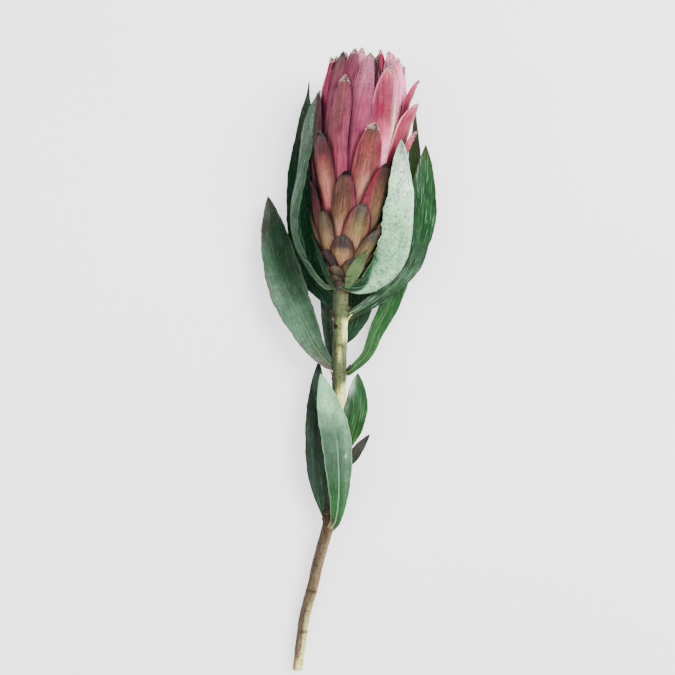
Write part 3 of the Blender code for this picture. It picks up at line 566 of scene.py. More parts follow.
def ramp(value, reach=1):
    """Rises evenly from 0 to 1 over a reach."""
    return np.clip(value / reach, 0, 1)


def ease(value, reach):
    """Rises quickly from 0, then levels out at 1 over a reach."""
    return np.sin(np.pi / 2 * ramp(value, reach))


def hill(away, reach):
    """1 in the middle, falling softly to 0 beyond its reach on both sides."""
    return np.exp(-((away / reach) ** 2))


def to_row(points):
    """Millimetres from the head's foot to metres in the part's own frame."""
    return (np.asarray(points, float) - np.array([*BOX_MIDDLE, 0.0])) * MM


def unit(vectors):
    """The same directions, each with a length of 1."""
    return vectors / np.maximum(np.linalg.norm(vectors, axis=-1, keepdims=True), 1e-12)


def head_frame():
    """Foot, axis, upper side and right side of the head, in millimetres from the foot's plan."""
    lean = math.radians(HEAD_LEAN)
    rise = math.radians(HEAD_RISE)
    axis = np.array([math.sin(lean) * math.cos(rise), math.cos(lean) * math.cos(rise), math.sin(rise)])
    upper = unit(np.array([0, 0, 1.0]) - axis * axis[2])
    return np.array([0, 0, HEAD_BASE_HEIGHT]), axis, upper, np.cross(axis, upper)


FOOT, AXIS, UPPER, RIGHT = head_frame()


def on_head(height, azimuth, radius):
    """Places on the head, in millimetres. Azimuth 0 is its upper side, positive to the right."""
    turn = np.radians(azimuth)[..., None]
    out = UPPER * np.cos(turn) + RIGHT * np.sin(turn)
    return FOOT + AXIS * height[..., None] + out * radius[..., None]


def grid_faces(grid):
    """Four-sided faces over a grid of point numbers."""
    return np.stack([grid[:-1, :-1], grid[:-1, 1:], grid[1:, 1:], grid[1:, :-1]], -1).reshape(-1, 4)


def rings_of(start, rings, sides):
    """Point numbers of a tube, ring by ring, with each ring's first point again at its end."""
    index = start + np.arange(rings * sides).reshape(rings, sides)
    return np.concatenate([index, index[:, :1]], axis=1)


def tube_faces(start, rings, sides):
    """Faces of a tube with both ends closed."""
    grid = rings_of(start, rings, sides)
    return grid_faces(grid).tolist() + [grid[0, -2::-1].tolist(), grid[-1, :-1].tolist()]


def new_mesh(name, points, faces):
    mesh = bpy.data.meshes.new(name)
    mesh.from_pydata(to_row(points).tolist(), [], faces)
    return mesh


def set_values(mesh, name, values):
    """Stores one value a point. Tints and margins are colours, and get 1 as a missing fourth value."""
    colour = name in ("tint", "margin")
    layer = mesh.attributes.new(name, "FLOAT_COLOR" if colour else "FLOAT_VECTOR", "POINT")
    if colour and values.shape[1] == 3:
        values = np.insert(values, 3, 1, axis=1)
    layer.data.foreach_set("color" if colour else "vector", values.reshape(-1).astype(np.float32))


def add_object(name, data):
    made = bpy.data.objects.new(name, data)
    bpy.context.scene.collection.objects.link(made)
    return made


def finish_piece(mesh, material, node):
    """Shows a mesh as a finer piece in place of a solid."""
    mesh.materials.append(material)
    mesh.shade_smooth()
    mesh.set_sharp_from_angle(angle=math.radians(SHARP_ANGLE))
    piece = add_object(mesh.name, mesh)
    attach(piece, "root")
    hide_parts(node)


class Blades:
    """Thin blades gathered into one mesh. Each is closed, with an upper and an under face."""

    def __init__(self):
        self.points, self.faces, self.cells, self.corners = [], [], [], []
        self.values = {"tint": [], "margin": [], "place": [], "share": []}

    def add(self, upper, thickness, tints, margin, seed, share, place):
        """upper is a grid of points in millimetres; tints are its upper and under colours."""
        rows, columns = upper.shape[:2]
        count = rows * columns
        normal = unit(np.cross(np.gradient(upper, axis=1), np.gradient(upper, axis=0)))
        index = np.arange(count).reshape(rows, columns)
        edge = np.concatenate([index[0, :], index[1:, -1], index[-1, -2::-1], index[-2::-1, 0]])
        rim = np.stack([edge[1:], edge[:-1], edge[:-1] + count, edge[1:] + count], -1)
        faces = np.concatenate([grid_faces(index), grid_faces(index + count)[:, ::-1], rim])
        self.faces.append(faces + sum(len(points) for points in self.points))
        u, v = np.meshgrid(np.linspace(0.03, 0.97, columns), np.linspace(0.02, 0.98, rows))
        self.corners.append(np.tile(np.stack([u, v], -1).reshape(-1, 2), (2, 1))[faces])
        number = 2 * len(self.cells)
        face_count = (rows - 1) * (columns - 1)
        cell = np.full(len(faces), number)
        cell[face_count:2 * face_count] = number + 1
        self.cells.append(cell)
        across, along = share
        strength = margin[1] + (margin[-1] - margin[1]) * ramp(along)
        colour = np.broadcast_to(linear(margin[0]), upper.shape)
        for under, points in enumerate((upper, upper - normal * thickness[..., None])):
            self.points.append(points.reshape(-1, 3))
            self.keep("tint", tints[under])
            self.keep("margin", np.concatenate([colour, strength[..., None]], -1))
            self.keep("place", np.stack([*place, np.full_like(along, seed)], -1))
            self.keep("share", np.stack([across, along, np.full_like(along, under)], -1))

    def keep(self, name, grid):
        self.values[name].append(grid.reshape(-1, grid.shape[-1]))

    def make(self, name, material, aspect, node):
        """aspect is how much longer than wide its blades are, for their places on the bake's map."""
        mesh = new_mesh(name, np.concatenate(self.points), np.concatenate(self.faces).tolist())
        count = 2 * len(self.cells)
        columns = math.ceil(math.sqrt(count * aspect))
        cell = np.concatenate(self.cells)
        corner = np.stack([cell % columns, cell // columns], -1)[:, None, :]
        spots = (corner + np.concatenate(self.corners)) / np.array([columns, math.ceil(count / columns)])
        layer = mesh.uv_layers.new(name="OFBake")
        layer.uv.foreach_set("vector", spots.reshape(-1).astype(np.float32))
        for kind, values in self.values.items():
            set_values(mesh, kind, np.concatenate(values))
        finish_piece(mesh, material, node)


class Hairs:
    """Fine tapering hairs gathered into one mesh, each a bent three-sided spike."""

    def __init__(self):
        self.points, self.faces = [], []

    def add(self, root, direction, length, radius, bend):
        start = len(self.points)
        direction = unit(direction)
        side = unit(np.cross(direction, np.array([0.3, 0.2, 0.93])))
        other = np.cross(direction, side)
        middle = root + direction * length * 0.5
        for centre, share in ((root, 1.0), (middle, 0.7)):
            for turn in (0.0, 2.094, 4.189):
                self.points.append(centre + (side * math.cos(turn) + other * math.sin(turn)) * radius * share)
        self.points.append(root + direction * length + bend)
        for k in range(3):
            n = (k + 1) % 3
            self.faces.append((start + k, start + n, start + 3 + n, start + 3 + k))
            self.faces.append((start + 3 + k, start + 3 + n, start + 6))

    def scatter(self, root, direction, length, spread, sag, radii, draws):
        """Adds a hair with a drawn direction, bend, length and radius."""
        direction = direction + np.array([draws.gauss(0, spread) for _ in range(3)])
        bend = np.array([draws.gauss(0, sag) for _ in range(3)]) * length
        self.add(root, direction, length * draws.uniform(0.5, 1.2), draws.uniform(*radii), bend)

    def make(self, name, material, node):
        finish_piece(new_mesh(name, np.array(self.points), self.faces), material, node)


class Wire:
    """A node's output, so that a material's sums and products read as formulas."""

    def __init__(self, shader, socket):
        self.shader = shader
        self.socket = socket

    def __add__(self, other):
        return self.shader.math("ADD", self, other)

    def __sub__(self, other):
        return self.shader.math("SUBTRACT", self, other)

    def __mul__(self, other):
        return self.shader.math("MULTIPLY", self, other)

    def __abs__(self):
        return self.shader.math("ABSOLUTE", self)


class Shader:
    """A material's nodes, with short names for the kinds used here."""

    def __init__(self, name, roughness, specular=0.25):
        self.material = bpy.data.materials.new(name)
        self.material.use_nodes = True
        self.nodes = self.material.node_tree.nodes
        self.surface = self.nodes["Principled BSDF"].inputs
        self.surface["Roughness"].default_value = roughness
        self.surface["Specular IOR Level"].default_value = specular

    def give(self, socket, value):
        if isinstance(value, Wire):
            self.material.node_tree.links.new(value.socket, socket)
        elif isinstance(value, str):
            socket.default_value = (*linear(value), 1.0)
        else:
            socket.default_value = value

    def node(self, kind, inputs, output=0, **settings):
        """Adds a node, gives its inputs by name or number, and returns one of its outputs."""
        made = self.nodes.new(f"ShaderNode{kind}")
        for name, setting in settings.items():
            setattr(made, name, setting)
        for key, value in inputs.items():
            self.give(made.inputs[key], value)
        return Wire(self, made.outputs[output])

    def math(self, operation, *values):
        return self.node("Math", dict(enumerate(values)), operation=operation)

    def between(self, value, low, high, to_low=0.0, to_high=1.0):
        """Turns the range from low to high smoothly into another."""
        values = dict(enumerate((value, low, high, to_low, to_high)))
        return self.node("MapRange", values, interpolation_type="SMOOTHSTEP")

    def noise(self, place, scale, detail):
        return self.node("TexNoise", {"Vector": place, "Scale": scale, "Detail": detail}, "Fac")

    def mix(self, share, a, b, kind="MIX"):
        return self.node("Mix", {0: share, 6: a, 7: b}, 2, data_type="RGBA", blend_type=kind)

    def shade(self, colour, *swings):
        """Multiplies a colour by 1 plus each (pattern, strength) about the pattern's middle."""
        total = 1.0
        for pattern, strength in swings:
            total = (pattern - 0.5) * strength + total
        scale = self.math("MAXIMUM", total, 0.25)
        return self.node("VectorMath", {"Vector": colour, "Scale": scale}, operation="SCALE")

    def end(self, colour, height, depth_mm, roughness=None):
        bump = self.node("Bump", {"Strength": 1.0, "Distance": depth_mm * MM, "Height": height})
        self.give(self.surface["Base Color"], colour)
        self.give(self.surface["Normal"], bump)
        if roughness is not None:
            self.give(self.surface["Roughness"], roughness)
        return self.material


class Skin(Shader):
    """A shader that reads the tints, distances in millimetres and shares stored on a piece."""

    def __init__(self, name, roughness, specular):
        super().__init__(name, roughness, specular)
        self.tint = self.stored("tint", "Color")
        self.across_mm, self.along_mm, self.seed = self.split("place")

    def stored(self, name, output):
        return self.node("Attribute", {}, output, attribute_name=name)

    def split(self, name):
        """The three values of a stored vector."""
        vector = self.stored(name, "Vector")
        return [self.node("SeparateXYZ", {0: vector}, i) for i in range(3)]

    def spot(self, across=1.0, along=1.0):
        return self.node("CombineXYZ", {0: self.across_mm * across, 1: self.along_mm * along, 2: self.seed})

    def lanes(self, across, along, detail, scale=1.0):
        """Noise drawn out along the blade."""
        return self.noise(self.spot(across, along), scale, detail)

    def spots(self, scale, detail):
        return self.noise(self.spot(), scale, detail)

    def cells(self, scale):
        inputs = {"Vector": self.spot(), "Scale": scale}
        return self.node("TexVoronoi", inputs, "Distance", feature="DISTANCE_TO_EDGE")

    def edged(self, colour, share):
        """The colour with the stored margin laid over it."""
        return self.mix(share * self.stored("margin", "Alpha"), colour, self.stored("margin", "Color"))


def bract_material():
    """Lengthwise streaks, blotches, specks, a coloured margin and pale down near the tip."""
    s = Skin("bract", 0.6, 0.05)
    across, along, under = s.split("share")
    wide = s.lanes(0.95, 0.05, 3)
    streak = s.lanes(2.2, 0.09, 4)
    fine = s.lanes(5.0, 0.22, 3)
    blotch = s.spots(0.24, 4)
    colour = s.shade(s.tint, (wide, 1.1), (streak, 1.2), (fine, 1.0), (blotch, 0.9))
    colour = s.mix(s.between(streak, 0.60, 0.74, 0.0, 0.13), colour, "pale_pink")
    colour = s.mix(s.between(blotch, 0.56, 0.74, 0.0, 0.14), colour, "umber")
    speck = s.between(s.spots(1.3, 2), 0.59, 0.66) * s.between(along, 0.3, 0.8, 0.15, 0.6)
    colour = s.mix(speck, colour, "dark_brown")
    rim = s.between(abs(across) + (streak - 0.5) * 0.22, 0.84, 0.94)
    colour = s.edged(colour, rim * s.between(along, 0.3, 0.85, 0.25, 1.0))
    down = s.between(along, 0.84, 1.0) * s.between(s.spots(1.6, 2), 0.45, 0.62)
    colour = s.mix(down * 0.22, colour, "fur")
    colour = s.mix(under * 0.34, colour, "dark_mauve", "MULTIPLY")
    height = streak * 0.7 + wide * 0.6 + fine * 0.3
    return s.end(colour, height, 0.32, s.between(streak, 0.3, 0.7, 0.66, 0.48))


def leaf_material(name, look):
    """A pale rib, slanting veins, fine cells, specks, glossy streaks with painted highlights along them, and
    a coloured margin.
    """
    roughness, specks, streaks, veins = look["finish"]
    rib_colour, rib_strength, rib_end = look["rib"]
    s = Skin(f"{name}_skin", roughness, 0.06 + 0.16 * streaks)
    across, along, _ = s.split("share")
    off = abs(s.across_mm)
    slant = s.along_mm - off * 1.7 + (s.spots(0.16, 3) - 0.5) * 3.4
    vein = s.between(s.math("PINGPONG", slant, 1.5), 1.1, 1.5)
    small = s.between(s.cells(0.9), 0.0, 0.16, 1.0, 0.0)
    fade = s.between(along, rib_end - 0.12, rib_end + 0.08, rib_strength, 0.0)
    rib_line = s.between(off, 0.12, 0.42, 1.0, 0.0) * fade
    rib_side = s.between(off, 0.4, 1.3, 1.0, 0.0) * s.between(off, 0.3, 0.5)
    blotch = s.spots(0.13, 5)
    mottle = s.spots(0.6, 4)
    streak = s.lanes(2.0, 0.10, 3)
    gloss_and_painted_highlight = s.between(streak, 0.58, 0.64) * streaks
    fleck = s.between(s.spots(0.7, 3), 0.55, 0.61, 0.0, 0.42 * specks)
    swings = (blotch, 1.3), (mottle, 0.5 + 0.6 * specks), (streak, 0.7 + 0.5 * streaks), (vein, 0.5 * veins)
    colour = s.mix(small * 0.08, s.shade(s.tint, *swings), "rib_green")
    # Painted highlight: pale mint laid along the glossy streaks
    colour = s.mix(gloss_and_painted_highlight * 0.5, colour, "mint")
    colour = s.mix(fleck, colour, "slate_green")
    colour = s.mix(rib_side * fade * 0.45, colour, "deep_green")
    colour = s.mix(rib_line, colour, rib_colour)
    colour = s.edged(colour, s.between(abs(across) + (streak - 0.5) * 0.10, 0.89, 0.96))
    height = vein * -0.5 + small * -0.22 + (blotch * 0.9 + streak * 0.5)
    dull = s.between(blotch, 0.3, 0.7, roughness + 0.1, roughness - 0.06)
    return s.end(colour, height, 0.18, dull - gloss_and_painted_highlight * 0.15)


def stem_material():
    """Lengthwise streaks, dark flecks and pale corky spots."""
    s = Skin("stem_skin", 0.6, 0.08)
    streak = s.lanes(1.3, 0.10, 4)
    wide = s.lanes(1.0, 0.35, 4, 0.45)
    fleck = s.between(s.spots(0.9, 2), 0.59, 0.66)
    pale = s.between(s.lanes(1.0, 0.4, 1, 1.6), 0.64, 0.70)
    colour = s.shade(s.tint, (streak, 1.5), (s.spots(0.32, 4), 0.9), (wide, 1.2))
    colour = s.mix(fleck * 0.65, colour, "dark_brown")
    colour = s.mix(pale * 0.4, colour, "stem_light")
    return s.end(colour, streak + fleck * -0.5, 0.35)


def grain_material(name, dark, light, roughness):
    """Two tones in a fine grain, for florets, hairs and the dark core."""
    s = Shader(name, roughness, 0.08)
    grain = s.noise(s.node("TexCoord", {}, "Object"), 900.0, 3)
    return s.end(s.mix(s.between(grain, 0.35, 0.65), dark, light), grain, 0.1)


def sides_and_shares(across, along):
    """A blade's grid: from -1 at its left edge to 1 at its right one, and from 0 to 1 along it."""
    return np.meshgrid(np.linspace(-1, 1, across + 1), np.linspace(0, 1, along + 1))


def half_width(t, width, widest, outline):
    """Half a blade's width along it, by one of the outlines above."""
    low = outline["base"] + (1 - outline["base"]) * ease(t, widest) ** outline["rise"]
    past = ramp(t - widest, 1 - widest)
    high = np.maximum((1 - past ** outline["belly"]) ** outline["point"], outline["tip"])
    return width / 2 * np.where(t < widest, low, high)


def tint_sides(colours, side, towards, left, right):
    """Turns colours to those of the left and right edges, each a name and a strength."""
    for here, (colour, strength) in ((side < 0, left), (side > 0, right)):
        colours = blend(colours, colour, np.where(here, towards, 0) * strength)
    return colours


def add_patches(colours, patches, side, t):
    for middle, place, reach, length, colour, strength in patches:
        away = ((side - middle) / reach) ** 2 + ((t - place) / length) ** 2
        colours = blend(colours, colour, strength * np.exp(-away))
    return colours


def tier_bracts(tier, draws):
    """The listed bracts, then even steps round the under side, by the same draws as the solids."""
    tip, width, pitch, (first, last), listed, others = tier[2:]
    open_angle = 360 - (last - first)
    count = max(round(open_angle / pitch) - 1, 1)
    step = open_angle / (count + 1)
    made = list(listed)
    for i in range(count):
        azimuth = last + step * (i + 1) + draws.uniform(-3, 3)
        tip_here = tip + draws.uniform(-2, 2)
        width_here = width * draws.uniform(0.95, 1.05)
        made.append((azimuth, tip_here, width_here, 0, others[i % len(others)]))
    return made


def bract_tints(look, side, t):
    """Colours of a bract from root to tip, turning to its edges' own colours."""
    line, left, right = BRACT_LOOKS[look][:3]
    colours = colour_line(line, t + 0.05 * side * side)
    towards = ramp(np.abs(side) - 0.2, 0.7) ** 1.2 * (ramp(t + 0.1, 0.3) * ramp(1 - t, 0.12))
    colours = tint_sides(colours, side, towards, (left, BRACT_EDGE_TINT), (right, BRACT_EDGE_TINT))
    return add_patches(colours, BRACT_PATCHES.get(look, []), side, t)


def crevice_shade(height, azimuth, radius, covers):
    """Darkens a bract next to the outlines of those that overlap it."""
    shade = np.ones_like(height)
    for root, tip, width, middle in covers:
        t = (height - root) / (tip - root)
        turn = (azimuth - middle + 180) % 360 - 180
        half = half_width(np.clip(t, 0, 1), width, BRACT_WIDEST, BRACT_OUTLINE)
        aside = np.maximum(np.abs(np.radians(turn)) * radius - half, 0)
        gap = np.hypot(aside, np.maximum(height - tip, 0)) + np.where(t < 0, 99.0, 0.0)
        shade = shade * (1 - CREVICE_SHADE * hill(gap, CREVICE_REACH))
    return np.maximum(shade, CREVICE_DARKEST)


def bract_points(tier, azimuth, tip, width, flare, wobble, hidden):
    """A bract's upper face as a grid of points, with its shares and its distances in millimetres."""
    root, root_depth = tier[:2]
    side, step = sides_and_shares(BRACT_ACROSS, BRACT_ALONG)
    t = 1 - (1 + hidden) * (1 - step) ** TIP_CROWDING
    height = root + (tip - root) * t
    off = side * half_width(t, width, BRACT_WIDEST, BRACT_OUTLINE)
    keel = BRACT_KEEL * hill(off, 1.1) * ramp(t, 0.5)
    lift = 0.35 * np.abs(side) ** 6 * ramp(t - 0.45, 0.4)
    waver = 0.22 * side**2 * np.sin(9 * t + wobble) + 0.12 * np.sin(23 * t + 2 * wobble) * side**4
    radius = smooth_line(HEAD_PROFILE, height) - root_depth * (1 - t) - BRACT_CURL * off * off
    radius = radius + flare * ramp(t) ** 4 + keel - 0.3 + lift + waver
    azimuths = azimuth + np.degrees(off / np.maximum(radius, LEAST_RADIUS))
    return on_head(height, azimuths, radius), (side, t), (off, height - root), (height, azimuths, radius)


def bract_thickness(side, t):
    body = BRACT_EDGE_THICKNESS + (BRACT_THICKNESS - BRACT_EDGE_THICKNESS) * (1 - side**4)
    return body * (0.45 + 0.55 * ramp(1 - t, 0.25))


def add_bract(blades, tier, bract, own, covers, hidden):
    """Adds one bract to the blades and returns its points."""
    azimuth, tip, width, flare, look = bract
    wobble = own.uniform(0, TURN)
    points, share, place, spots = bract_points(tier, azimuth, tip, width, flare, wobble, hidden)
    shade = crevice_shade(*spots, covers)[..., None] * own.uniform(0.92, 1.08)
    tints = bract_tints(look, *share) * shade
    seed = own.uniform(0, PATTERN_RANGE)
    margin = BRACT_LOOKS[look][3]
    # The under face gets a darker copy of the tints, as painted shade
    blades.add(points, bract_thickness(*share), (tints, tints * BRACT_UNDER_SHADE), margin, seed, share, place)
    return points


def share_between(ends, draw):
    """Turns a draw from 0 to 1 into a share between two ends."""
    return ends[0] + (ends[1] - ends[0]) * draw


def tuft_bract(hairs, points, count, length, draws):
    """Down lying on the outer face of a bract's tip."""
    rows, columns = points.shape[:2]
    for _ in range(count):
        i = int(share_between(TUFT_SHARES, draws.random()) * (rows - 2))
        j = draws.randrange(1, columns - 1)
        step = points[i + 1, j] - points[i, j]
        outward = unit(np.cross(points[i, j + 1] - points[i, j - 1], step))
        direction = unit(step) + outward * draws.uniform(0.1, 0.7)
        hairs.scatter(points[i, j], direction, length, 0.3, 0.2, TUFT_RADII, draws)


def fringe_bract(hairs, points, count, draws):
    """Hairs along both margins of a bract's upper part, leaning outward and towards the tip."""
    rows, columns = points.shape[:2]
    for _ in range(count):
        row = share_between(FRINGE_SHARES, draws.random() ** 0.7)
        i = min(int(row * (rows - 1)), rows - 2)
        share = row * (rows - 1) - i
        edge, inner = (0, 2) if draws.random() < 0.5 else (columns - 1, columns - 3)
        root = points[i, edge] * (1 - share) + points[i + 1, edge] * share
        outward = unit(points[i, edge] - points[i, inner])
        ahead = unit(points[i + 1, edge] - points[i, edge])
        direction = outward * draws.uniform(0.2, 0.9) + ahead * draws.uniform(0.5, 1.2)
        hairs.scatter(root, direction, FRINGE_LENGTH, 0.25, 0.12, FRINGE_RADII, draws)


def make_tiers(skin, hairs):
    """One piece for each tier. draws repeats the solids' draws, and own is this script's."""
    draws = random.Random(SEED)
    own = random.Random(SEED + 1)
    covers = []
    for number, tier in enumerate(TIERS):
        inner = number >= OUTER_TIERS
        blades = Blades()
        bracts = tier_bracts(tier, own if number == OWN_RING else draws)
        for bract in bracts:
            points = add_bract(blades, tier, bract, own, covers, HIDDEN_ROOT if inner else 0.0)
            look = bract[4]
            down = hairs[BRACT_LOOKS[look][4]]
            tuft_bract(down, points, TUFT_HAIRS[look in WOOLLY], TUFT_LENGTHS[inner], own)
            if inner:
                fringe_bract(down, points, FRINGE_HAIRS[look in WOOLLY], own)
        covers += [(tier[0], tip, width, azimuth) for azimuth, tip, width, _, _ in bracts]
        blades.make(f"bract_tier_{number + 1}", skin, 5, "bracts_inner" if inner else "bracts_outer")


def make_neck_scales(skin):
    """Small crinkled scales between the first tier and the stem."""
    own = random.Random(SEED + 5)
    blades = Blades()
    for azimuth, tip in NECK_SCALES:
        bract = (azimuth, tip, own.uniform(7.0, 9.5), own.uniform(0.6, 1.3), "neck_scale")
        add_bract(blades, NECK_ROOT, bract, own, [], 0.0)
    blades.make("neck_scales", skin, 2, "bracts_outer")


def make_core():
    """A dark solid of revolution inside the head, which closes the gaps between the bracts."""
    heights = np.linspace(CORE_PROFILE[0][0], CORE_PROFILE[-1][0], CORE_RINGS)
    turn, height = np.meshgrid(np.linspace(0, 360, CORE_SIDES, endpoint=False), heights)
    points = on_head(height, turn, smooth_line(CORE_PROFILE, height)).reshape(-1, 3)
    mesh = new_mesh("head_core", points, tube_faces(0, CORE_RINGS, CORE_SIDES))
    finish_piece(mesh, grain_material("core", "dark_purple", "dark_mauve", 0.8), "bracts_inner")


def make_head():
    skin = bract_material()
    hairs = {colour: Hairs() for colour in DOWN_TONES}
    make_tiers(skin, hairs)
    make_neck_scales(skin)
    make_core()
    for colour, (dark, light) in DOWN_TONES.items():
        material = grain_material(f"{colour}_hair", dark, light, 0.7)
        hairs[colour].make(f"{colour}_down", material, "bracts_inner")


def floret_middle(low, high, out, t):
    """A floret's middle line, which bulges a little away from the head's axis."""
    return low + (high - low) * t + out * FLORET_BULGE * np.sin(np.pi * t)


def floret_radius(t):
    return FLORET_RADIUS * (1 - t**2.2) ** 0.6


def round_floret(out, angle):
    """Directions round a floret, the first away from the head's axis."""
    return out * np.cos(angle) + np.cross(AXIS, out) * np.sin(angle)


def make_florets():
    """Closed florets, each a tapered tube with a woolly tip."""
    own = random.Random(SEED + 2)
    wool = Hairs()
    points, faces = [], []
    t = (np.arange(FLORET_SECTIONS) / (FLORET_SECTIONS - 1))[:, None]
    angle = (2 * np.pi * np.arange(FLORET_SIDES) / FLORET_SIDES)[:, None]
    size = np.maximum(floret_radius(t) * (0.75 + 0.35 * hill(t - 0.8, 0.12)), FLORET_LEAST_RADIUS)
    for radius, tip, count in FLORET_RINGS:
        for i in range(count):
            turn = 2 * math.pi * (i + radius * 0.11) / count
            out = RIGHT * math.cos(turn) + UPPER * math.sin(turn)
            low = FOOT + AXIS * FLORET_FOOT + out * radius
            high = FOOT + AXIS * (tip + own.uniform(-1.5, 1.0)) + out * radius * (1 - FLORET_LEAN)
            faces += tube_faces(len(points) * FLORET_SECTIONS * FLORET_SIDES, FLORET_SECTIONS, FLORET_SIDES)
            section = round_floret(out, angle) * (1 + 0.10 * np.cos(4 * angle))
            points.append(floret_middle(low, high, out, t)[:, None] + section * size[..., None])
            for _ in range(FLORET_HAIRS):
                at = own.uniform(0.55, 1.0)
                spread = round_floret(out, own.uniform(0, TURN))
                root = floret_middle(low, high, out, at) + spread * floret_radius(at) * 0.8
                length = own.uniform(0.8, 1.9)
                bend = spread * own.uniform(0, 0.3)
                wool.add(root, AXIS * 1.2 + spread, length, FLORET_HAIR_RADIUS, bend)
    mesh = new_mesh("florets_fine", np.concatenate(points).reshape(-1, 3), faces)
    finish_piece(mesh, grain_material("floret", "dark_floret", "dark_mauve", 0.75), "florets")
    wool.make("floret_tufts", grain_material("floret_wool", "grey_mauve", "down_light", 0.8), "florets")


def leaf_half_widths(name, t, width, widest):
    """A leaf's half width without its halves' own shares, and those shares, left and right."""

    def narrowed(reach, least):
        return least + (1 - least) * ease(t, reach) ** 2

    half = half_width(t, width, widest, LEAF_OUTLINE)
    if name in CLASPING:
        half = half * narrowed(*CLASPING[name])
    if name in SPIKES:
        start, thin, least = SPIKES[name]
        half = half * (1 - (1 - least) * ramp(t - start, thin - start))
    left, right = HALF_SHARES.get(name, (1.0, 1.0))
    if name in LEFT_BASES:
        left = left * narrowed(*LEFT_BASES[name])
    return half, left, right


def leaf_points(leaf, draws):
    """A leaf's upper face as a grid of points, with its shares and its distances in millimetres."""
    name, width, widest, wave, waves, points = leaf
    places = [0.0]
    for a, b in zip(points, points[1:]):
        places.append(places[-1] + math.dist(a[:3], b[:3]))
    length = places[-1]
    side, t = sides_and_shares(LEAF_ACROSS, LEAF_ALONG)
    side = np.sign(side) * np.abs(side) ** 0.85

    def read(at, i):
        return smooth_line([(p, point[i]) for p, point in zip(places, points)], at * length)

    def middle(at):
        return np.stack([read(at, i) for i in range(3)], -1)

    along = unit(middle(np.minimum(t + 0.01, 1)) - middle(np.maximum(t - 0.01, 0)))
    right = unit(np.cross(along, np.array([0, 0, 1.0])))
    upward = np.cross(right, along)
    lean = np.radians(read(t, 3))[..., None]
    across = right * np.cos(lean) - upward * np.sin(lean)
    normal = upward * np.cos(lean) + right * np.sin(lean)
    half, left_share, right_share = leaf_half_widths(name, t, width, widest)
    nibble = 1 + 0.018 * np.sin(t * length * 0.55 + draws.uniform(0, 6)) * np.abs(side) ** 8
    nibble = nibble + 0.012 * np.sin(t * length * 1.4 + draws.uniform(0, 6)) * np.abs(side) ** 8
    reach = side * np.where(side > 0, right_share, left_share) * nibble
    cup = np.radians(read(t, 4))
    off = half * np.sin(cup * reach) / cup
    lift = half * (1 - np.cos(cup * reach)) / cup
    ripple = wave * np.sin(2 * np.pi * waves * t + side) * side * side * np.sin(np.pi * t)
    crinkle = 0.16 * np.sin(t * length * 0.9 + draws.uniform(0, 6) + 2 * side) * side**4
    rib = -RIB_DEPTH * hill(half * reach, RIB_WIDTH * (1.1 - t)) * ramp(1 - t, 0.3)
    lift = lift + ripple + crinkle * np.sin(np.pi * t) + rib
    made = middle(t) + across * off[..., None] + normal * lift[..., None]
    made[..., 2] = np.maximum(made[..., 2], LEAF_THICKNESS)
    return made, (side, t), (half * reach, t * length)


def leaf_tints(look, side, t):
    """Colours of a leaf's upper and under faces."""
    towards = ramp(np.abs(side) - 0.1, 0.9) * ramp(t - 0.12, 0.15)
    upper = colour_line(look["upper"], t + look["tilt"] * side)
    upper = tint_sides(upper, side, towards, look["left"], look["right"])
    return add_patches(upper, look["patches"], side, t), colour_line(look["under"], t)


def make_leaves():
    draws = random.Random(SEED + 3)
    for leaf in LEAVES:
        name = leaf[0]
        look = PLAIN_LEAF | LEAF_LOOKS[name]
        points, share, place = leaf_points(leaf, draws)
        side, t = share
        thickness = LEAF_EDGE_THICKNESS + (LEAF_THICKNESS - LEAF_EDGE_THICKNESS) * (1 - side**4)
        thickness = thickness + RIB_THICKNESS * hill(place[0], RIB_WIDTH) * (1 - t)
        thickness = np.minimum(thickness, points[..., 2] - LEAF_CLEARANCE)
        tints = leaf_tints(look, *share)
        seed = draws.uniform(0, PATTERN_RANGE)
        blades = Blades()
        blades.add(points, thickness, tints, look["margin"], seed, share, place)
        blades.make(f"{name}_fine", leaf_material(name, look), 3, name)


def stem_middle(y):
    """The stem's middle and its plain radius, by the place along it."""
    share = (y - STEM_START) / (STEM_END - STEM_START)
    height = STEM_CUT_HEIGHT + (HEAD_BASE_HEIGHT - STEM_CUT_HEIGHT) * share
    radius = STEM_RADIUS_AT_CUT + (STEM_RADIUS_AT_HEAD - STEM_RADIUS_AT_CUT) * share
    return np.stack([smooth_line(STEM_ROUTE, y), y, height], -1), radius


def scar_lines(y, turn):
    """Each scar's rise and its strength over the stem."""
    for place, rise, arch, direction, spread in SCARS:
        away = (np.degrees(turn) - direction + 180) % 360 - 180
        line = y - place + arch * (1 - np.sin(turn))
        yield rise, hill(line, SCAR_WIDTH) * np.exp(-((away / spread) ** 4))


def bud_share(y):
    return ramp(BUD_HALF_LENGTH - np.abs(y - BUD_Y), BUD_HALF_LENGTH) ** 0.6


def stem_tint(y, turn):
    """Green above, cream on the right below, a dark node, then tan, with the left side darker as painted
    shade and the right lighter, partly as painted light. A turn of 0 is the right side.
    """
    colours = colour_line(STEM_MIDDLE, y)
    aside = np.cos(turn)
    # The right side turns lighter, partly its own cream skin and partly painted light, and the left darker as
    # painted shade
    colours = blend(colours, colour_line(STEM_RIGHT_LIT, y), ramp(aside - 0.05, 0.5))
    colours = blend(colours, colour_line(STEM_LEFT_SHADED, y), ramp(-aside - 0.15, 0.5))
    for _, strength in scar_lines(y, turn):
        colours = blend(colours, "brown", 0.8 * strength)
    from_bud = np.abs(turn - math.pi / 2)
    beside = hill(from_bud - 0.42 * bud_share(y), 0.09) * (bud_share(y) > 0)
    colours = blend(colours, "brown", 0.75 * beside)
    return blend(colours, "stem_cream", 0.55 * hill(from_bud, 0.26) * bud_share(y))


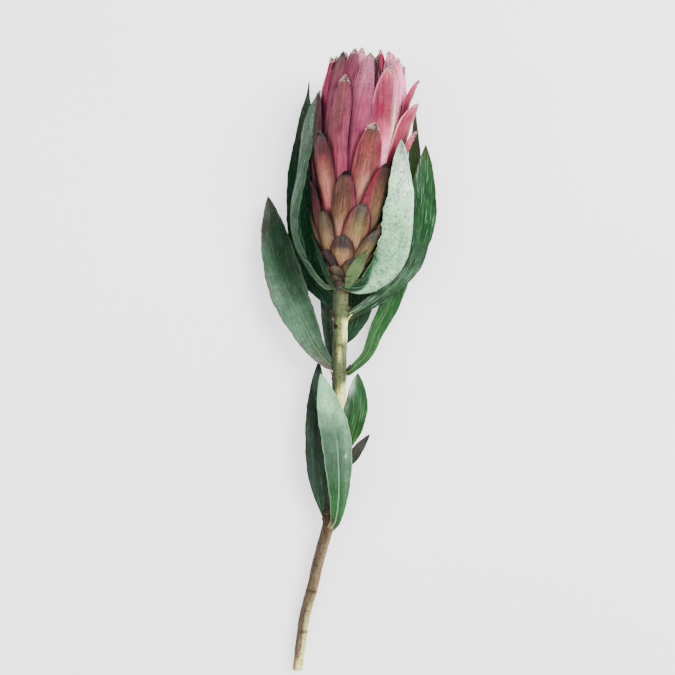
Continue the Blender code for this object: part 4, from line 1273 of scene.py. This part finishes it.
def stem_radius(y, turn, plain, own):
    """The plain radius with scar ridges, a resting bud, ribs and knots."""
    radius = plain
    for rise, strength in scar_lines(y, turn):
        radius = radius + rise * strength * (0.7 + 0.3 * np.cos(turn + own.uniform(0, 6)))
    radius = radius + 0.7 * bud_share(y) * hill(turn - math.pi / 2, 0.34)
    radius = radius + 0.10 * np.sin(3 * turn + y * 0.03) + 0.06 * np.sin(7 * turn + y * 0.11)
    return radius + 0.09 * np.sin(y * 0.7 + 2 * turn) * np.sin(y * 0.23 + turn)


def make_stem():
    own = random.Random(SEED + 4)
    y = np.linspace(STEM_START, STEM_END, STEM_RINGS)
    centre, plain = stem_middle(y)
    along = unit(np.gradient(centre, axis=0))
    right = unit(np.cross(along, np.array([0, 0, 1.0])))
    upward = np.cross(right, along)
    turn, y_grid = np.meshgrid(np.linspace(0, 2 * np.pi, STEM_SIDES, endpoint=False), y)
    radius = stem_radius(y_grid, turn, plain[:, None], own)
    ring = right[:, None, :] * np.cos(turn)[..., None] + upward[:, None, :] * np.sin(turn)[..., None]
    points = centre[:, None, :] + ring * radius[..., None]
    points[..., 2] = np.maximum(points[..., 2], STEM_CLEARANCE)
    points = np.concatenate([points.reshape(-1, 3), centre[[0, -1]]])
    grid = rings_of(0, STEM_RINGS, STEM_SIDES)
    faces = grid_faces(grid)[:, [1, 0, 3, 2]].tolist()
    low, high = len(points) - 2, len(points) - 1
    faces += [(low, a, b) for a, b in zip(grid[0].tolist(), grid[0, 1:].tolist())]
    faces += [(high, b, a) for a, b in zip(grid[-1].tolist(), grid[-1, 1:].tolist())]
    mesh = new_mesh("stem_fine", points, faces)
    ends = [linear("stem_cream"), linear("stem_green")]
    set_values(mesh, "tint", np.concatenate([stem_tint(y_grid, turn).reshape(-1, 3), ends]))
    place = np.stack([radius * turn, y_grid, np.zeros_like(turn)], -1).reshape(-1, 3)
    set_values(mesh, "place", np.concatenate([place, [[0, STEM_START, 0], [0, STEM_END, 0]]]))
    finish_piece(mesh, stem_material(), "stem")


def make_flakes():
    """Small curled flakes of old bark and leaf bases that stand off the stem."""
    own = random.Random(SEED + 6)
    blades = Blades()
    for y, direction, length, width, curl, colour in FLAKES:
        turn = math.radians(direction)
        middle, radius = stem_middle(np.array(y))
        out = np.array([math.cos(turn), 0, math.sin(turn)])
        across = np.array([-math.sin(turn), 0, math.cos(turn)])
        side, t = sides_and_shares(FLAKE_ACROSS, FLAKE_ALONG)
        off = side * width / 2 * np.sqrt(np.clip(1.02 - t * t, 0, 1)) * (1 + 0.15 * np.sin(7 * t + y))
        lift = radius - 0.15 + curl * t * t + 0.25 * np.sin(5 * side + y) * t - off * off / (2 * radius)
        points = middle + out * lift[..., None] + across * off[..., None]
        points = points + np.array([0, 1.0, 0]) * (t * length)[..., None]
        tint = np.broadcast_to(linear(colour), (*t.shape, 3)) * (0.7 + 0.5 * t)[..., None]
        thickness = np.full_like(t, FLAKE_THICKNESS)
        seed = own.uniform(0, PATTERN_RANGE)
        place = (off, t * length)
        # The flake's under face gets a darker copy of its tint, as painted shade
        blades.add(points, thickness, (tint, tint * FLAKE_UNDER_SHADE), FLAKE_MARGIN, seed, (side, t), place)
    blades.make("stem_flakes", stem_material(), 2, "stem")


def make_floor():
    """A pale surface that glows a little, so that it stays light and even."""
    bpy.ops.mesh.primitive_plane_add(size=FLOOR_SIZE, location=(0, 0, -FLOOR_DROP))
    floor = bpy.context.object
    floor.name = "floor"
    s = Shader("floor_paint", 0.9)
    grain = s.noise(s.node("TexCoord", {}, "Object"), 7.0, 3)
    colour = s.mix(s.between(grain, 0.3, 0.7), (0.92, 0.915, 0.92, 1), (0.95, 0.945, 0.95, 1))
    s.surface["Emission Color"].default_value = (1.0, 0.99, 1.0, 1.0)
    s.surface["Emission Strength"].default_value = FLOOR_GLOW
    floor.data.materials.append(s.end(colour, grain, 0.02))


def make_lights():
    for name, (place, aim, size, power, colour) in LIGHTS.items():
        light = bpy.data.lights.new(name, "AREA")
        light.shape = "DISK"
        light.size = size
        light.energy = power
        light.color = colour
        lamp = add_object(name, light)
        lamp.location = place
        lamp.rotation_euler = (Vector(aim) - Vector(place)).to_track_quat("-Z", "Y").to_euler()
    world = bpy.data.worlds.new("soft_room")
    world.use_nodes = True
    background = world.node_tree.nodes["Background"].inputs
    background["Color"].default_value = ROOM_COLOUR
    background["Strength"].default_value = ROOM_LIGHT
    bpy.context.scene.world = world


def make_camera():
    lens = bpy.data.cameras.new("photo_view")
    lens.lens = LENS
    lens.sensor_width = SENSOR
    lens.clip_start = 0.01
    camera = add_object("photo_view", lens)
    camera.location = to_row(EYE)
    camera.rotation_euler = (0.0, 0.0, 0.0)
    bpy.context.scene.camera = camera


make_camera()
make_lights()
make_floor()
make_head()
make_florets()
make_leaves()
make_stem()
make_flakes()
